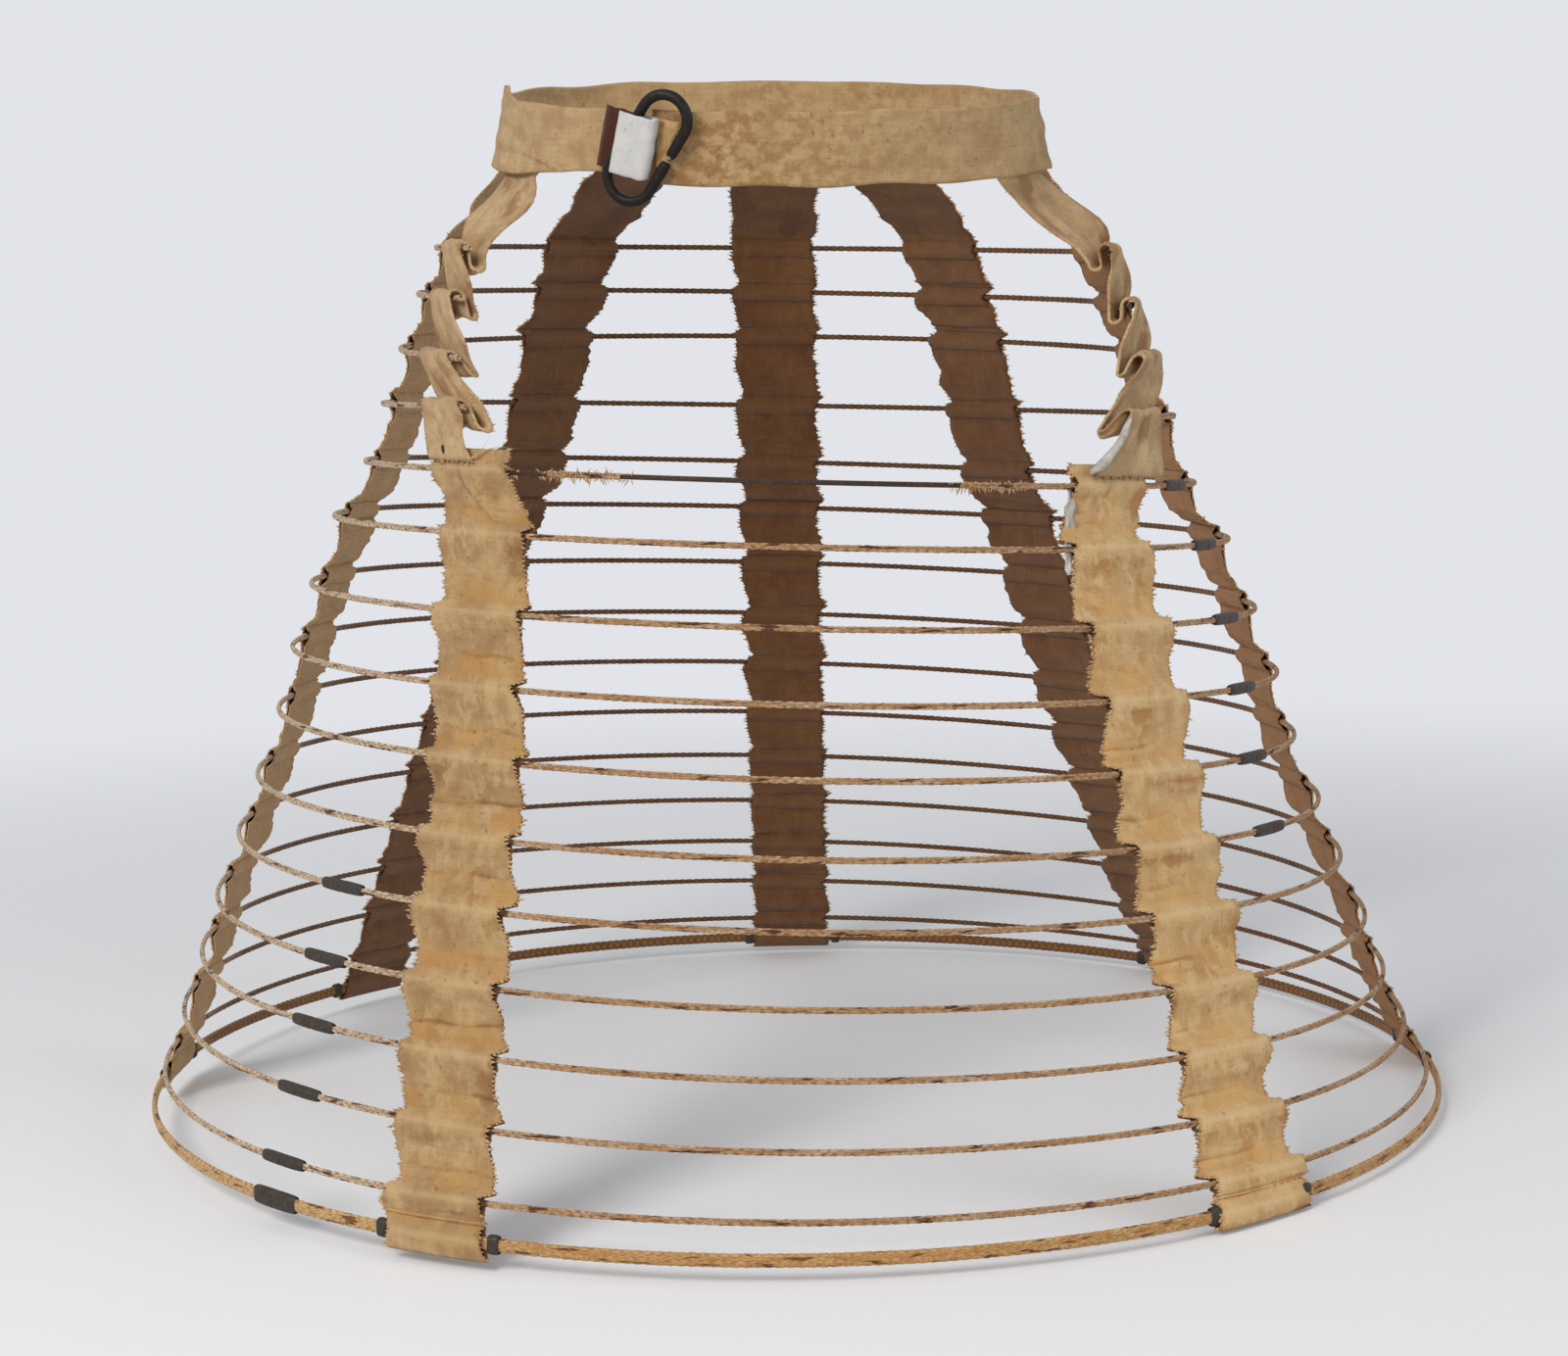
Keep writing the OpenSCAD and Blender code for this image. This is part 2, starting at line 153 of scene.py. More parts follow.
class Graph:
    """A node tree with short ways to add and join nodes."""

    def __init__(self, tree: bpy.types.NodeTree) -> None:
        """Keeps the tree that nodes are added to."""
        self.tree = tree

    def node(self, kind: str, inputs: dict[str | int, object] | None = None,
             **settings: object) -> bpy.types.Node:
        """Adds a node.

        Args:
            kind: Blender's type name of the node.
            inputs: Outputs or plain values for its sockets, by name or number.
            settings: Properties of the node, which are set before its sockets.

        Returns:
            The new node.
        """
        made = self.tree.nodes.new(kind)
        for key, value in settings.items():
            setattr(made, key, value)
        for key, value in (inputs or {}).items():
            self.put(made.inputs[key], value)
        return made

    def put(self, socket: bpy.types.NodeSocket, value: object) -> None:
        """Links an output to a socket, or sets a plain value on it.

        Args:
            socket: The input that gets it.
            value: An output socket or a plain value.
        """
        if isinstance(value, bpy.types.NodeSocket):
            self.tree.links.new(value, socket)
        else:
            socket.default_value = value

    def math(self, operation: str, *values: object, clamp: bool = False) -> bpy.types.NodeSocket:
        """A Math node's output for one to three values."""
        made = self.node("ShaderNodeMath", dict(enumerate(values)), operation=operation, use_clamp=clamp)
        return made.outputs[0]

    def vector(self, operation: str, *values: object) -> bpy.types.NodeSocket:
        """A Vector Math node's vector output."""
        return self.node("ShaderNodeVectorMath", dict(enumerate(values)), operation=operation).outputs[0]

    def times(self, vector: object, number: object) -> bpy.types.NodeSocket:
        """A vector scaled by a number."""
        return self.node("ShaderNodeVectorMath", {0: vector, "Scale": number}, operation="SCALE").outputs[0]

    def ramp(self, value: object, low: float, high: float) -> bpy.types.NodeSocket:
        """A value eased from 0 at low to 1 at high."""
        ends = {"Value": value, "From Min": low, "From Max": high}
        return self.node("ShaderNodeMapRange", ends, interpolation_type="SMOOTHSTEP").outputs[0]

    def braid(self, along: object, girth: object, pitch: object) -> bpy.types.NodeSocket:
        """The height of a braid's crossing strands.

        Args:
            along: Place along the hoop, in mm.
            girth: Place round it, from 0 to 1.
            pitch: Length of a strand's wave, in mm.

        Returns:
            The height of the upper strand, -1 to 1.
        """
        turn = self.math("DIVIDE", along, pitch)
        strands = []
        for way in ("ADD", "SUBTRACT"):
            phase = self.math(way, turn, self.math("MULTIPLY", girth, 2.0))
            strands.append(self.math("SINE", self.math("MULTIPLY", phase, math.tau)))
        return self.math("MAXIMUM", *strands)


class Paint(Graph):
    """A material's node tree."""

    def __init__(self, name: str) -> None:
        """Makes an empty material with a principled shader.

        Args:
            name: The material's name.
        """
        self.material = bpy.data.materials.new(name)
        self.material.use_nodes = True
        super().__init__(self.material.node_tree)
        self.shader = self.tree.nodes["Principled BSDF"]
        self.object_place = self.node("ShaderNodeTexCoord").outputs["Object"]

    def set(self, **constants: object) -> None:
        """Sets constants on the shader's sockets, whose names have _ for a space."""
        for name, value in constants.items():
            self.shader.inputs[name.replace("_", " ")].default_value = value

    def mix(self, share: object, first: object, second: object) -> bpy.types.NodeSocket:
        """Mixes two colours.

        Args:
            share: How much of the second, 0 to 1.
            first: The first colour.
            second: The second colour.

        Returns:
            The mixed colour.
        """
        made = self.node("ShaderNodeMix", data_type="RGBA")
        for name, value in (("Factor_Float", share), ("A_Color", first), ("B_Color", second)):
            socket = next(s for s in made.inputs if s.identifier == name)
            self.put(socket, (*value, 1) if isinstance(value, tuple) else value)
        return next(s for s in made.outputs if s.identifier == "Result_Color")

    def attribute(self, name: str) -> bpy.types.NodeSocket:
        """A piece's own attribute as a number."""
        return self.node("ShaderNodeAttribute", attribute_name=name).outputs["Fac"]

    def scaled(self, place: object, x: float, y: float, z: float) -> bpy.types.NodeSocket:
        """Coordinates stretched along each axis."""
        return self.vector("MULTIPLY", place, (x, y, z))

    def noise(self, place: object, scale: float, detail: float = 2,
              rough: float = 0.5) -> bpy.types.NodeSocket:
        """Noise at a place, about 0 to 1."""
        look = {"Vector": place, "Scale": scale, "Detail": detail, "Roughness": rough}
        return self.node("ShaderNodeTexNoise", look).outputs["Fac"]

    def parts(self, place: object) -> bpy.types.NodeOutputs:
        """The three coordinates of a place."""
        return self.node("ShaderNodeSeparateXYZ", {0: place}).outputs

    def part_of(self, share: object, amount: float) -> bpy.types.NodeSocket:
        """An amount of a share."""
        return self.math("MULTIPLY", share, amount)

    def colour(self, value: object) -> None:
        """Links a colour to the shader."""
        self.put(self.shader.inputs["Base Color"], value)

    def bump(self, height: object, distance: float, strength: float) -> None:
        """Links a height to the shader's normal."""
        made = self.node("ShaderNodeBump", {"Strength": strength, "Distance": distance, "Height": height})
        self.put(self.shader.inputs["Normal"], made.outputs["Normal"])


class Weave(Enum):
    """How a cloth is woven."""

    PLAIN = "plain"
    TWILL = "twill"


@dataclass(frozen=True)
class ClothFinish:
    """Old cotton cloth: its threads, staining and worn places, with painted shade and a painted highlight."""

    name: str
    base: Colour
    light: Colour
    stain: Colour
    weave: Weave = Weave.PLAIN
    thread: float = 0.62
    streaks: float = 0.34
    blotches: float = 0.6
    specks: float = 0.5
    faded: float = 0.5
    inside: Colour | None = None
    golden: Colour | None = None

    def material(self) -> bpy.types.Material:
        """The cloth as a procedural material on the piece's cloth coordinates, in mm.

        Returns:
            The new material.
        """
        paint = Paint(self.name)
        cloth = paint.node("ShaderNodeUVMap", uv_map="cloth").outputs["UV"]
        warp = paint.noise(paint.scaled(cloth, 1.5, 0.06, 0), 1, 4, 0.7)
        weft = paint.noise(paint.scaled(cloth, 0.07, 1.6, 0), 1, 3, 0.65)
        streak = paint.math("MULTIPLY_ADD", weft, 0.45, paint.part_of(warp, 0.55))
        self.dye(paint, cloth, streak)
        across, along = (paint.part_of(way, math.tau / self.thread) for way in paint.parts(cloth)[:2])
        if self.weave is Weave.TWILL:
            thread = paint.math("SINE", paint.math("ADD", across, along))
        else:
            thread = paint.math("MULTIPLY", paint.math("SINE", across), paint.math("SINE", along))
        paint.bump(paint.math("MULTIPLY_ADD", streak, 4.5, paint.part_of(thread, 0.55)), 0.0003, 0.8)
        paint.set(Roughness=0.9, Specular_IOR_Level=0.18, Sheen_Weight=0.18, Sheen_Roughness=0.5)
        return paint.material

    def dye(self, paint: Paint, cloth: object, streak: object) -> None:
        """Colours the cloth: threads, faded places, dirt and painted shade, a painted highlight along the
        ridges, specks, and its inner side, whose colour is painted shade on most cloths and painted light on
        the side tapes.

        Args:
            paint: The material's tree.
            cloth: Cloth coordinates.
            streak: Uneven threads, 0 to 1.
        """
        shade = paint.ramp(streak, 0.5 - self.streaks / 2, 0.5 + self.streaks / 2)
        colour = paint.mix(shade, tuple(level * 0.78 for level in self.base), self.light)
        colour = paint.mix(0.4, colour, self.base)
        mottle = paint.noise(paint.scaled(cloth, 0.2, 0.15, 0), 1, 4, 0.62)
        colour = paint.mix(paint.part_of(paint.ramp(mottle, 0.62, 0.38), self.faded), colour, self.light)
        blotch = paint.noise(paint.object_place, 60, 5, 0.68)
        soil_and_shade = paint.part_of(paint.ramp(blotch, 0.4, 0.66), self.blotches)
        # The staining mark holds real staining and painted shade.
        stain = paint.attribute("stain")
        patch = paint.math("MULTIPLY", stain, paint.ramp(mottle, 0.36, 0.6))
        # Darkest where that mark is highest: painted shade in creases and along the pleat, and the deepest
        # staining.
        crease = paint.part_of(paint.ramp(stain, 0.62, 0.95), 0.8)
        soil_and_shade = paint.math("MAXIMUM", paint.math("MAXIMUM", soil_and_shade, patch), crease, clamp=True)
        colour = paint.mix(soil_and_shade, colour, self.stain)
        if self.golden:
            colour = paint.mix(paint.part_of(paint.attribute("golden"), 0.62), colour, self.golden)
        # Painted highlight: a pale line where the cloth rounds over each hoop's pocket.
        colour = paint.mix(paint.part_of(paint.attribute("ridge"), 0.6), colour, self.light)
        speck = paint.ramp(paint.noise(paint.object_place, 420, 2, 0.6), 0.64, 0.74)
        dirt = tuple(level * 0.4 for level in self.stain)
        colour = paint.mix(paint.part_of(speck, self.specks), colour, dirt)
        # The inner side's own colour is painted shade on most cloths and painted light on the side tapes.
        if self.inside:
            brown = paint.mix(shade, tuple(level * 0.6 for level in self.inside), self.inside)
            colour = paint.mix(paint.attribute("inside"), colour, brown)
        paint.colour(colour)


@dataclass(frozen=True)
class BraidFinish:
    """Braided cotton over a hoop, specked by the rust beneath it, its back half darkened with painted shade
    and rust.
    """

    name: str
    pale: Colour
    tan: Colour
    rust: Colour
    dark: Colour

    def material(self) -> bpy.types.Material:
        """The braid as a procedural material on the hoop's own length and girth.

        Returns:
            The new material.
        """
        paint = Paint(self.name)
        along, girth = paint.attribute("along"), paint.attribute("girth")
        braid = paint.braid(along, girth, BRAID_PITCH)
        side, depth, height = paint.parts(paint.object_place)
        place = paint.node("ShaderNodeCombineXYZ", {
            0: along, 1: paint.part_of(girth, 6.0), 2: paint.part_of(height, 900.0)}).outputs[0]
        colour = paint.mix(paint.ramp(side, -0.06, -0.17), self.tan, self.pale)
        long_tone = paint.noise(paint.scaled(place, 0.05, 0.05, 0.4), 1, 2)
        colour = paint.mix(paint.part_of(paint.ramp(long_tone, 0.45, 0.7), 0.6), colour, self.pale)
        fleck = paint.noise(paint.scaled(place, 0.42, 0.6, 0.9), 1, 3, 0.65)
        colour = paint.mix(paint.part_of(paint.ramp(fleck, 0.48, 0.6), 0.85), colour, self.rust)
        patch = paint.noise(paint.scaled(place, 0.085, 0.02, 0.7), 1, 2)
        colour = paint.mix(paint.ramp(patch, 0.58, 0.64), colour, self.dark)
        # Painted shade, partly rust: the back half of each hoop is darker.
        colour = paint.mix(paint.part_of(paint.ramp(depth, -0.02, 0.07), 0.9), colour, self.dark)
        mouth = paint.math("MULTIPLY_ADD", fleck, 0.5, paint.attribute("mouth"))
        colour = paint.mix(paint.ramp(mouth, 0.55, 0.8), colour, self.dark)
        paint.colour(paint.mix(paint.part_of(paint.ramp(braid, 0.75, 0.1), 0.45), colour, self.rust))
        fuzz = paint.noise(paint.object_place, 2600, 2)
        paint.bump(paint.math("ADD", braid, fuzz), 0.0003, 0.6)
        paint.set(Roughness=0.92, Specular_IOR_Level=0.15, Sheen_Weight=0.15)
        return paint.material


@dataclass(frozen=True)
class MetalFinish:
    """Old iron or japanned metal, with its rust, dirt and rubbed places."""

    name: str
    base: Colour
    worn: Colour
    rust: Colour
    metallic: float
    roughness: float
    grain: float = 700
    rusted: float = 0.55
    gloss: float = 0.5

    def material(self) -> bpy.types.Material:
        """The metal as a procedural material on object coordinates.

        Returns:
            The new material.
        """
        paint = Paint(self.name)
        fine = paint.noise(paint.object_place, self.grain, 4, 0.6)
        broad = paint.noise(paint.object_place, self.grain / 7, 3, 0.55)
        colour = paint.mix(paint.ramp(fine, 0.52, 0.7), self.base, self.worn)
        paint.colour(paint.mix(paint.ramp(broad, self.rusted, self.rusted + 0.12), colour, self.rust))
        rough = paint.math("MULTIPLY_ADD", broad, 0.3, self.roughness - 0.12, clamp=True)
        paint.put(paint.shader.inputs["Roughness"], rough)
        paint.bump(fine, 0.0004, 0.35)
        paint.set(Metallic=self.metallic, Specular_IOR_Level=self.gloss)
        return paint.material


class Finishes:
    """Every finish on the cage, made once."""

    def __init__(self) -> None:
        """Makes the materials."""
        tan_stain = srgb(146, 101, 54)
        # Painted shade: the front tapes' inner side is a darker brown.
        inside = srgb(150, 103, 58)
        self.left_tape = ClothFinish("tape_cloth_tan", srgb(190, 150, 97), srgb(215, 182, 132),
                                     tan_stain, inside=inside, golden=srgb(199, 147, 80)).material()
        self.right_tape = ClothFinish("tape_cloth_golden", srgb(217, 175, 114), srgb(237, 203, 149),
                                      srgb(183, 124, 63), inside=inside, blotches=0.45,
                                      golden=srgb(222, 170, 100)).material()
        # Painted light: both side tapes have an inner side lighter than their outside.
        self.side_tape = ClothFinish("tape_cloth_brown", srgb(168, 122, 74), srgb(194, 152, 102),
                                     srgb(128, 82, 42), inside=srgb(188, 130, 76)).material()
        self.left_side = ClothFinish("tape_cloth_pale", srgb(190, 148, 98), srgb(214, 178, 130),
                                     tan_stain, inside=srgb(212, 169, 117)).material()
        # Painted shade: the back tapes' inner side is a dark brown.
        self.back_tape = ClothFinish("tape_cloth_dark", srgb(160, 112, 66), srgb(186, 142, 94),
                                     srgb(118, 74, 38), inside=srgb(112, 69, 36)).material()
        self.strap = ClothFinish("strap_cloth", srgb(207, 168, 116), srgb(229, 197, 150),
                                 srgb(164, 116, 66), thread=0.55, blotches=0.45).material()
        self.band = ClothFinish("band_twill", srgb(199, 161, 110), srgb(217, 185, 136),
                                srgb(150, 100, 50), Weave.TWILL, 0.8, blotches=0.4).material()
        # Painted shadow: the tab's inner colour, a dark red-brown, darkens the back ply behind the band's
        # end.
        self.tab = ClothFinish("tab_cloth_white", srgb(232, 230, 226), srgb(246, 245, 243),
                               srgb(190, 186, 180), blotches=0.25, specks=0.35, streaks=0.7, faded=0.2,
                               inside=srgb(92, 46, 24)).material()
        self.lining = ClothFinish("lining_cloth", srgb(226, 222, 214), srgb(243, 241, 237),
                                  srgb(170, 158, 140), blotches=0.7, streaks=0.5).material()
        self.thread = ClothFinish("loose_thread", srgb(196, 158, 105), srgb(219, 188, 141),
                                  srgb(160, 115, 66)).material()
        self.stitch = ClothFinish("sewing_thread", srgb(170, 124, 74), srgb(190, 146, 94),
                                  srgb(120, 78, 40)).material()
        self.braid = BraidFinish("braided_cotton", srgb(214, 194, 164), srgb(186, 148, 106),
                                 srgb(136, 90, 56), srgb(74, 45, 27)).material()
        self.hem_braid = BraidFinish("braided_hem_cotton", srgb(206, 172, 122), srgb(192, 148, 94),
                                     srgb(162, 115, 68), srgb(98, 64, 37)).material()
        self.steel = MetalFinish("rusty_hoop_steel", srgb(62, 45, 36), srgb(88, 66, 52),
                                 srgb(96, 56, 33), 0.55, 0.6).material()
        self.ferrule = MetalFinish("ferrule_iron", srgb(60, 53, 46), srgb(86, 77, 67),
                                   srgb(64, 46, 34), 0.25, 0.55, rusted=0.57, gloss=0.3).material()
        self.japan = MetalFinish("worn_japanning", srgb(23, 18, 14), srgb(40, 33, 26),
                                 srgb(34, 24, 17), 0.0, 0.45, 450, gloss=0.22).material()


@dataclass(frozen=True)
class Cage:
    """Sizes of the cage in mm and degrees, as its source has them."""

    waist_w: float = 224
    waist_d: float = 170
    band_h: float = 29
    band_t: float = 1.6
    waist_dip: float = 10.7
    waist_side_dip: float = 1.5
    buckle_off: float = 46
    buckle_stock: float = 4.4
    top_half_d: float = 276
    first_hoop_d: float = 340
    bottom_hoop_d: float = 530
    top_half_drop: float = 48.5
    first_hoop_drop: float = 139
    skirt_drop: float = 239
    hem_gap: float = 11
    hang_tilt: float = 3
    half_dip: float = 3.7
    tape_w: float = 38
    ply_t: float = 0.55
    pocket_lap: float = 2.2
    pocket_max_share: float = 0.44
    half_n: int = 4
    last: int = 15
    butt_gap: float = 1
    hoop_section: tuple[float, float] = (3.0, 2.0)
    hem_section: tuple[float, float] = (5.4, 2.4)
    half_drop_shares: tuple[float, ...] = (0, 0.22, 0.455, 0.72)
    half_tilt_shares: tuple[float, ...] = (0.65, 0.8, 0.7, 0.8)
    half_dip_shares: tuple[float, ...] = (1, 0.95, 1, 0.15)
    hoop_drop_shares: tuple[float, ...] = (
        0, 0.093, 0.208, 0.315, 0.42, 0.528, 0.625, 0.727, 0.82, 0.912, 1)
    hoop_flare_shares: tuple[float, ...] = (
        0, 0.14, 0.25, 0.34, 0.41, 0.51, 0.6, 0.7, 0.775, 0.86, 0.95, 1)
    hoop_tilt_shares: tuple[float, ...] = (1, 1, 1, 1, 1, 0.95, 0.9, 0.85, 0.8, 0.7, 0.45, 0.25)

    def name(self, k: int) -> str:
        """The source's name for hoop k."""
        return f"half_hoop_{k + 1}" if k < self.half_n else f"hoop_{k - self.half_n + 1:02d}"

    def radius(self, k: int) -> float:
        """Radius of hoop k, counted from the highest half hoop.

        Args:
            k: The hoop, counted from the highest half hoop.

        Returns:
            The radius.
        """
        if k < self.half_n:
            return lerp(self.top_half_d, self.first_hoop_d, k / self.half_n) / 2
        return lerp(self.first_hoop_d, self.bottom_hoop_d, self.hoop_flare_shares[k - self.half_n]) / 2

    def height(self, k: int) -> float:
        """Height of hoop k's middle.

        Args:
            k: The hoop, counted from the highest half hoop.

        Returns:
            The height.
        """
        if k < self.half_n:
            return -lerp(self.top_half_drop, self.first_hoop_drop, self.half_drop_shares[k])
        if k < self.last:
            return -(self.first_hoop_drop + self.skirt_drop * self.hoop_drop_shares[k - self.half_n])
        return -(self.first_hoop_drop + self.skirt_drop + self.hem_gap)

    def tilt(self, k: int) -> float:
        """Tilt of hoop k in radians."""
        shares = self.half_tilt_shares + self.hoop_tilt_shares
        return math.radians(self.hang_tilt * shares[k])

    def dip(self, k: int) -> float:
        """Dip of hoop k's front in radians."""
        return math.radians(self.half_dip * self.half_dip_shares[k]) if k < self.half_n else 0.0

    def section(self, k: int) -> tuple[float, float]:
        """Height and thickness of covered hoop k."""
        return self.hem_section if k == self.last else self.hoop_section

    def hoop_point(self, k: int, az: Array | float) -> Array:
        """Where hoop k crosses azimuths, as radius and height along the last axis.

        Args:
            k: The hoop, counted from the highest half hoop.
            az: Azimuths in degrees from the front.

        Returns:
            Radius and height at each azimuth.
        """
        tilt, phi = self.tilt(k), np.radians(az)
        rise = -math.tan(tilt) * np.sin(phi) - math.tan(self.dip(k)) / math.cos(tilt) * np.cos(phi)
        flat = self.radius(k) / np.hypot(1, rise)
        return np.stack([flat, self.height(k) + flat * rise], -1)

    def waist_point(self, az: Array | float) -> Array:
        """Where the waistband's lower edge crosses azimuths, as radius and height.

        Args:
            az: Azimuths in degrees from the front.

        Returns:
            Radius and height at each azimuth.
        """
        phi, dip, side = np.radians(az), math.radians(self.waist_dip), math.radians(self.waist_side_dip)
        r = 1 / np.hypot(2 * np.sin(phi) / self.waist_w, 2 * np.cos(phi) / self.waist_d) - self.band_t / 2
        z = (-r * np.cos(phi) * math.tan(dip) / math.cos(side) - r * np.sin(phi) * math.tan(side)
             - self.band_h / 2 / (math.cos(dip) * math.cos(side)))
        return np.stack([r, z], -1)

    def waist_frame(self) -> Matrix:
        """The waistband's own tilted frame."""
        dip, side = math.radians(self.waist_dip), math.radians(self.waist_side_dip)
        return Euler((dip, side, 0)).to_matrix().to_4x4()

    def buckle_frame(self) -> Matrix:
        """The frame on the waistband at the buckle: X to the right, Y up, Z out of the cloth.

        Returns:
            The frame.
        """
        turn = math.asin(-2 * self.buckle_off / self.waist_w)
        place = Matrix.Translation((self.waist_w / 2 * math.sin(turn), -self.waist_d / 2 * math.cos(turn), 0))
        swing = math.atan2(math.sin(turn) / self.waist_w, math.cos(turn) / self.waist_d)
        return self.waist_frame() @ place @ Euler((math.pi / 2, 0, swing)).to_matrix().to_4x4()

    def hoop_frame(self, k: int) -> Matrix:
        """The plane of hoop k."""
        turn = Euler((self.dip(k), self.tilt(k), 0)).to_matrix().to_4x4()
        return Matrix.Translation((0, 0, self.height(k))) @ turn


CAGE = Cage()


def placed(frame_of: Matrix, points: Array) -> Array:
    """Points moved by a frame."""
    turn = np.array(frame_of)
    return points @ turn[:3, :3].T + turn[:3, 3]


def round_axis(r: Array, az: Array, z: Array) -> Array:
    """Points at radii, azimuths in radians from the front, and heights."""
    return np.stack([r * np.sin(az), -r * np.cos(az), z + 0 * r], -1)


class Shell:
    """The closed shells of one piece as they are made, in mm."""

    def __init__(self) -> None:
        """Starts with nothing."""
        self.points: list[Array] = []
        self.faces: list[Array] = []
        self.cloth: list[Array] = []
        self.wear_and_light: dict[str, list[Array]] = {"ridge": [], "stain": [], "inside": [], "golden": []}
        self.count = 0

    def tube(self, rings: Array, cloth: Array | None = None, closed: bool = False, **wear_and_light: Array) -> None:
        """Adds a tube through rings of points, capped at both ends unless it closes on itself.

        Args:
            rings: Points as rings, places in a ring, and coordinates.
            cloth: Cloth coordinates of each point, or none.
            closed: Whether the last ring joins the first.
            wear_and_light: Worn places and painted light and shade by name, one number for each point.
        """
        rows, girth = rings.shape[:2]
        index = np.arange(rows * girth).reshape(rows, girth)
        first = index if closed else index[:-1]
        second = np.roll(index, -1, 0) if closed else index[1:]
        quads = [np.stack([first, np.roll(first, -1, 1), np.roll(second, -1, 1), second], -1).reshape(-1, 4)]
        if not closed:
            half = girth // 2
            for ring, way in ((index[0], -1), (index[-1], 1)):
                near, far = ring[:half], ring[::-1][:half]
                cap = np.stack([near[:-1], near[1:], far[1:], far[:-1]], -1)
                quads.append(cap[:, ::way])
        points, faces = rings.reshape(-1, 3), np.concatenate(quads)
        a, b, c, d = (points[faces[:, i]] for i in range(4))
        middle = points.mean(0)
        volume = (np.cross(c - a, d - b) * ((a + b + c + d) / 4 - middle)).sum()
        self.faces.append((faces if volume > 0 else faces[:, ::-1]) + self.count)
        self.points.append(points)
        self.cloth.append(np.zeros((len(points), 2)) if cloth is None else cloth.reshape(-1, 2))
        for name, kept in self.wear_and_light.items():
            kept.append(np.broadcast_to(wear_and_light.get(name, 0.0), rings.shape[:2]).ravel())
        self.count += len(points)

    def ply(self, middle: Array, half: float, cloth: Array, **wear_and_light: Array) -> None:
        """Adds a closed sheet of cloth.

        Args:
            middle: The cloth's middle surface as rows, columns and coordinates.
            half: Half its thickness.
            cloth: Its cloth coordinates by rows and columns.
            wear_and_light: Worn places and painted light and shade by name, by rows and columns.
        """
        out = half * cloth_normal(middle)

        def both(front: Array, back: Array) -> Array:
            """Front columns, then the back ones in turn."""
            return np.concatenate([front, back[:, ::-1]], 1)

        shape = middle.shape[:2]
        ways = {name: both(v, v) for name, v in
                ((n, np.broadcast_to(v, shape)) for n, v in wear_and_light.items())}
        self.tube(both(middle + out, middle - out), both(cloth, cloth), **ways)

    def build(self, name: str, material: bpy.types.Material) -> bpy.types.Object:
        """Makes the piece's object, in metres.

        Args:
            name: The piece's name.
            material: Its finish.

        Returns:
            The new object, smooth-shaded.
        """
        mesh = bpy.data.meshes.new(name)
        faces = np.concatenate(self.faces)
        mesh.from_pydata((np.concatenate(self.points) * MM).tolist(), [], faces.tolist())
        layer = mesh.uv_layers.new(name="cloth")
        layer.data.foreach_set("uv", np.concatenate(self.cloth)[faces.ravel()].astype(np.float32).ravel())
        for kind, kept in self.wear_and_light.items():
            wear_and_light = mesh.attributes.new(kind, "FLOAT", "POINT")
            wear_and_light.data.foreach_set("value", np.concatenate(kept).astype(np.float32))
        mesh.materials.append(material)
        mesh.shade_smooth()
        return shown(name, mesh)


class Growth(Graph):
    """A Geometry Nodes tree that is grown once and baked to a plain mesh."""

    def __init__(self, name: str, inputs: dict[str, str]) -> None:
        """Starts a tree.

        Args:
            name: The tree's name.
            inputs: Each named input with its socket type.
        """
        super().__init__(bpy.data.node_groups.new(name, "GeometryNodeTree"))
        face = self.tree.interface
        face.new_socket("Geometry", in_out="OUTPUT", socket_type="NodeSocketGeometry")
        face.new_socket("Geometry", in_out="INPUT", socket_type="NodeSocketGeometry")
        self.keys = {label: face.new_socket(label, in_out="INPUT", socket_type=kind).identifier
                     for label, kind in inputs.items()}
        self.given = self.node("NodeGroupInput").outputs

    def end(self, geometry: bpy.types.NodeSocket) -> None:
        """Realizes, paints and hands out the geometry.

        Args:
            geometry: What the tree has grown.
        """
        real = self.node("GeometryNodeRealizeInstances", {0: geometry}).outputs[0]
        paint = self.node("GeometryNodeSetMaterial", {"Geometry": real, "Material": self.given["Material"]})
        smooth = self.node("GeometryNodeSetShadeSmooth", {"Geometry": paint.outputs[0]})
        self.node("NodeGroupOutput", {0: smooth.outputs[0]})

    def spaced_line(self) -> bpy.types.NodeSocket:
        """The given line with a point at every pitch.

        Returns:
            The line.
        """
        line = self.node("GeometryNodeMeshToCurve", {0: self.given["Geometry"]}).outputs[0]
        step = {"Curve": line, "Length": self.given["Pitch"]}
        return self.node("GeometryNodeResampleCurve", step, mode="LENGTH").outputs[0]

    def set_out(self, instance: object, axis: str, way: object, scale: object) -> None:
        """Sets a shape out along the given line and ends the tree.

        Args:
            instance: The shape.
            axis: The shape's axis that is aimed.
            way: Where it is aimed.
            scale: Its size.
        """
        aim = self.node("FunctionNodeAlignRotationToVector", {"Vector": way}, axis=axis).outputs[0]
        laid = self.node("GeometryNodeInstanceOnPoints", {
            "Points": self.spaced_line(), "Instance": instance, "Rotation": aim, "Scale": scale})
        self.end(laid.outputs[0])

    def bake(self, name: str, mesh: bpy.types.Mesh, **values: object) -> bpy.types.Object:
        """Grows the tree from a mesh.

        Args:
            name: Name of the finished piece.
            mesh: The mesh that the tree starts from.
            values: The tree's inputs, with _ for a space.

        Returns:
            An object with a plain mesh and no modifier.
        """
        made = shown(name, mesh)
        grow = made.modifiers.new(self.tree.name, "NODES")
        grow.node_group = self.tree
        for label, value in values.items():
            grow[self.keys[label.replace("_", " ")]] = value
        graph = bpy.context.evaluated_depsgraph_get()
        grown = bpy.data.meshes.new_from_object(made.evaluated_get(graph))
        made.modifiers.remove(grow)
        made.data = grown
        grown.name = name
        return made


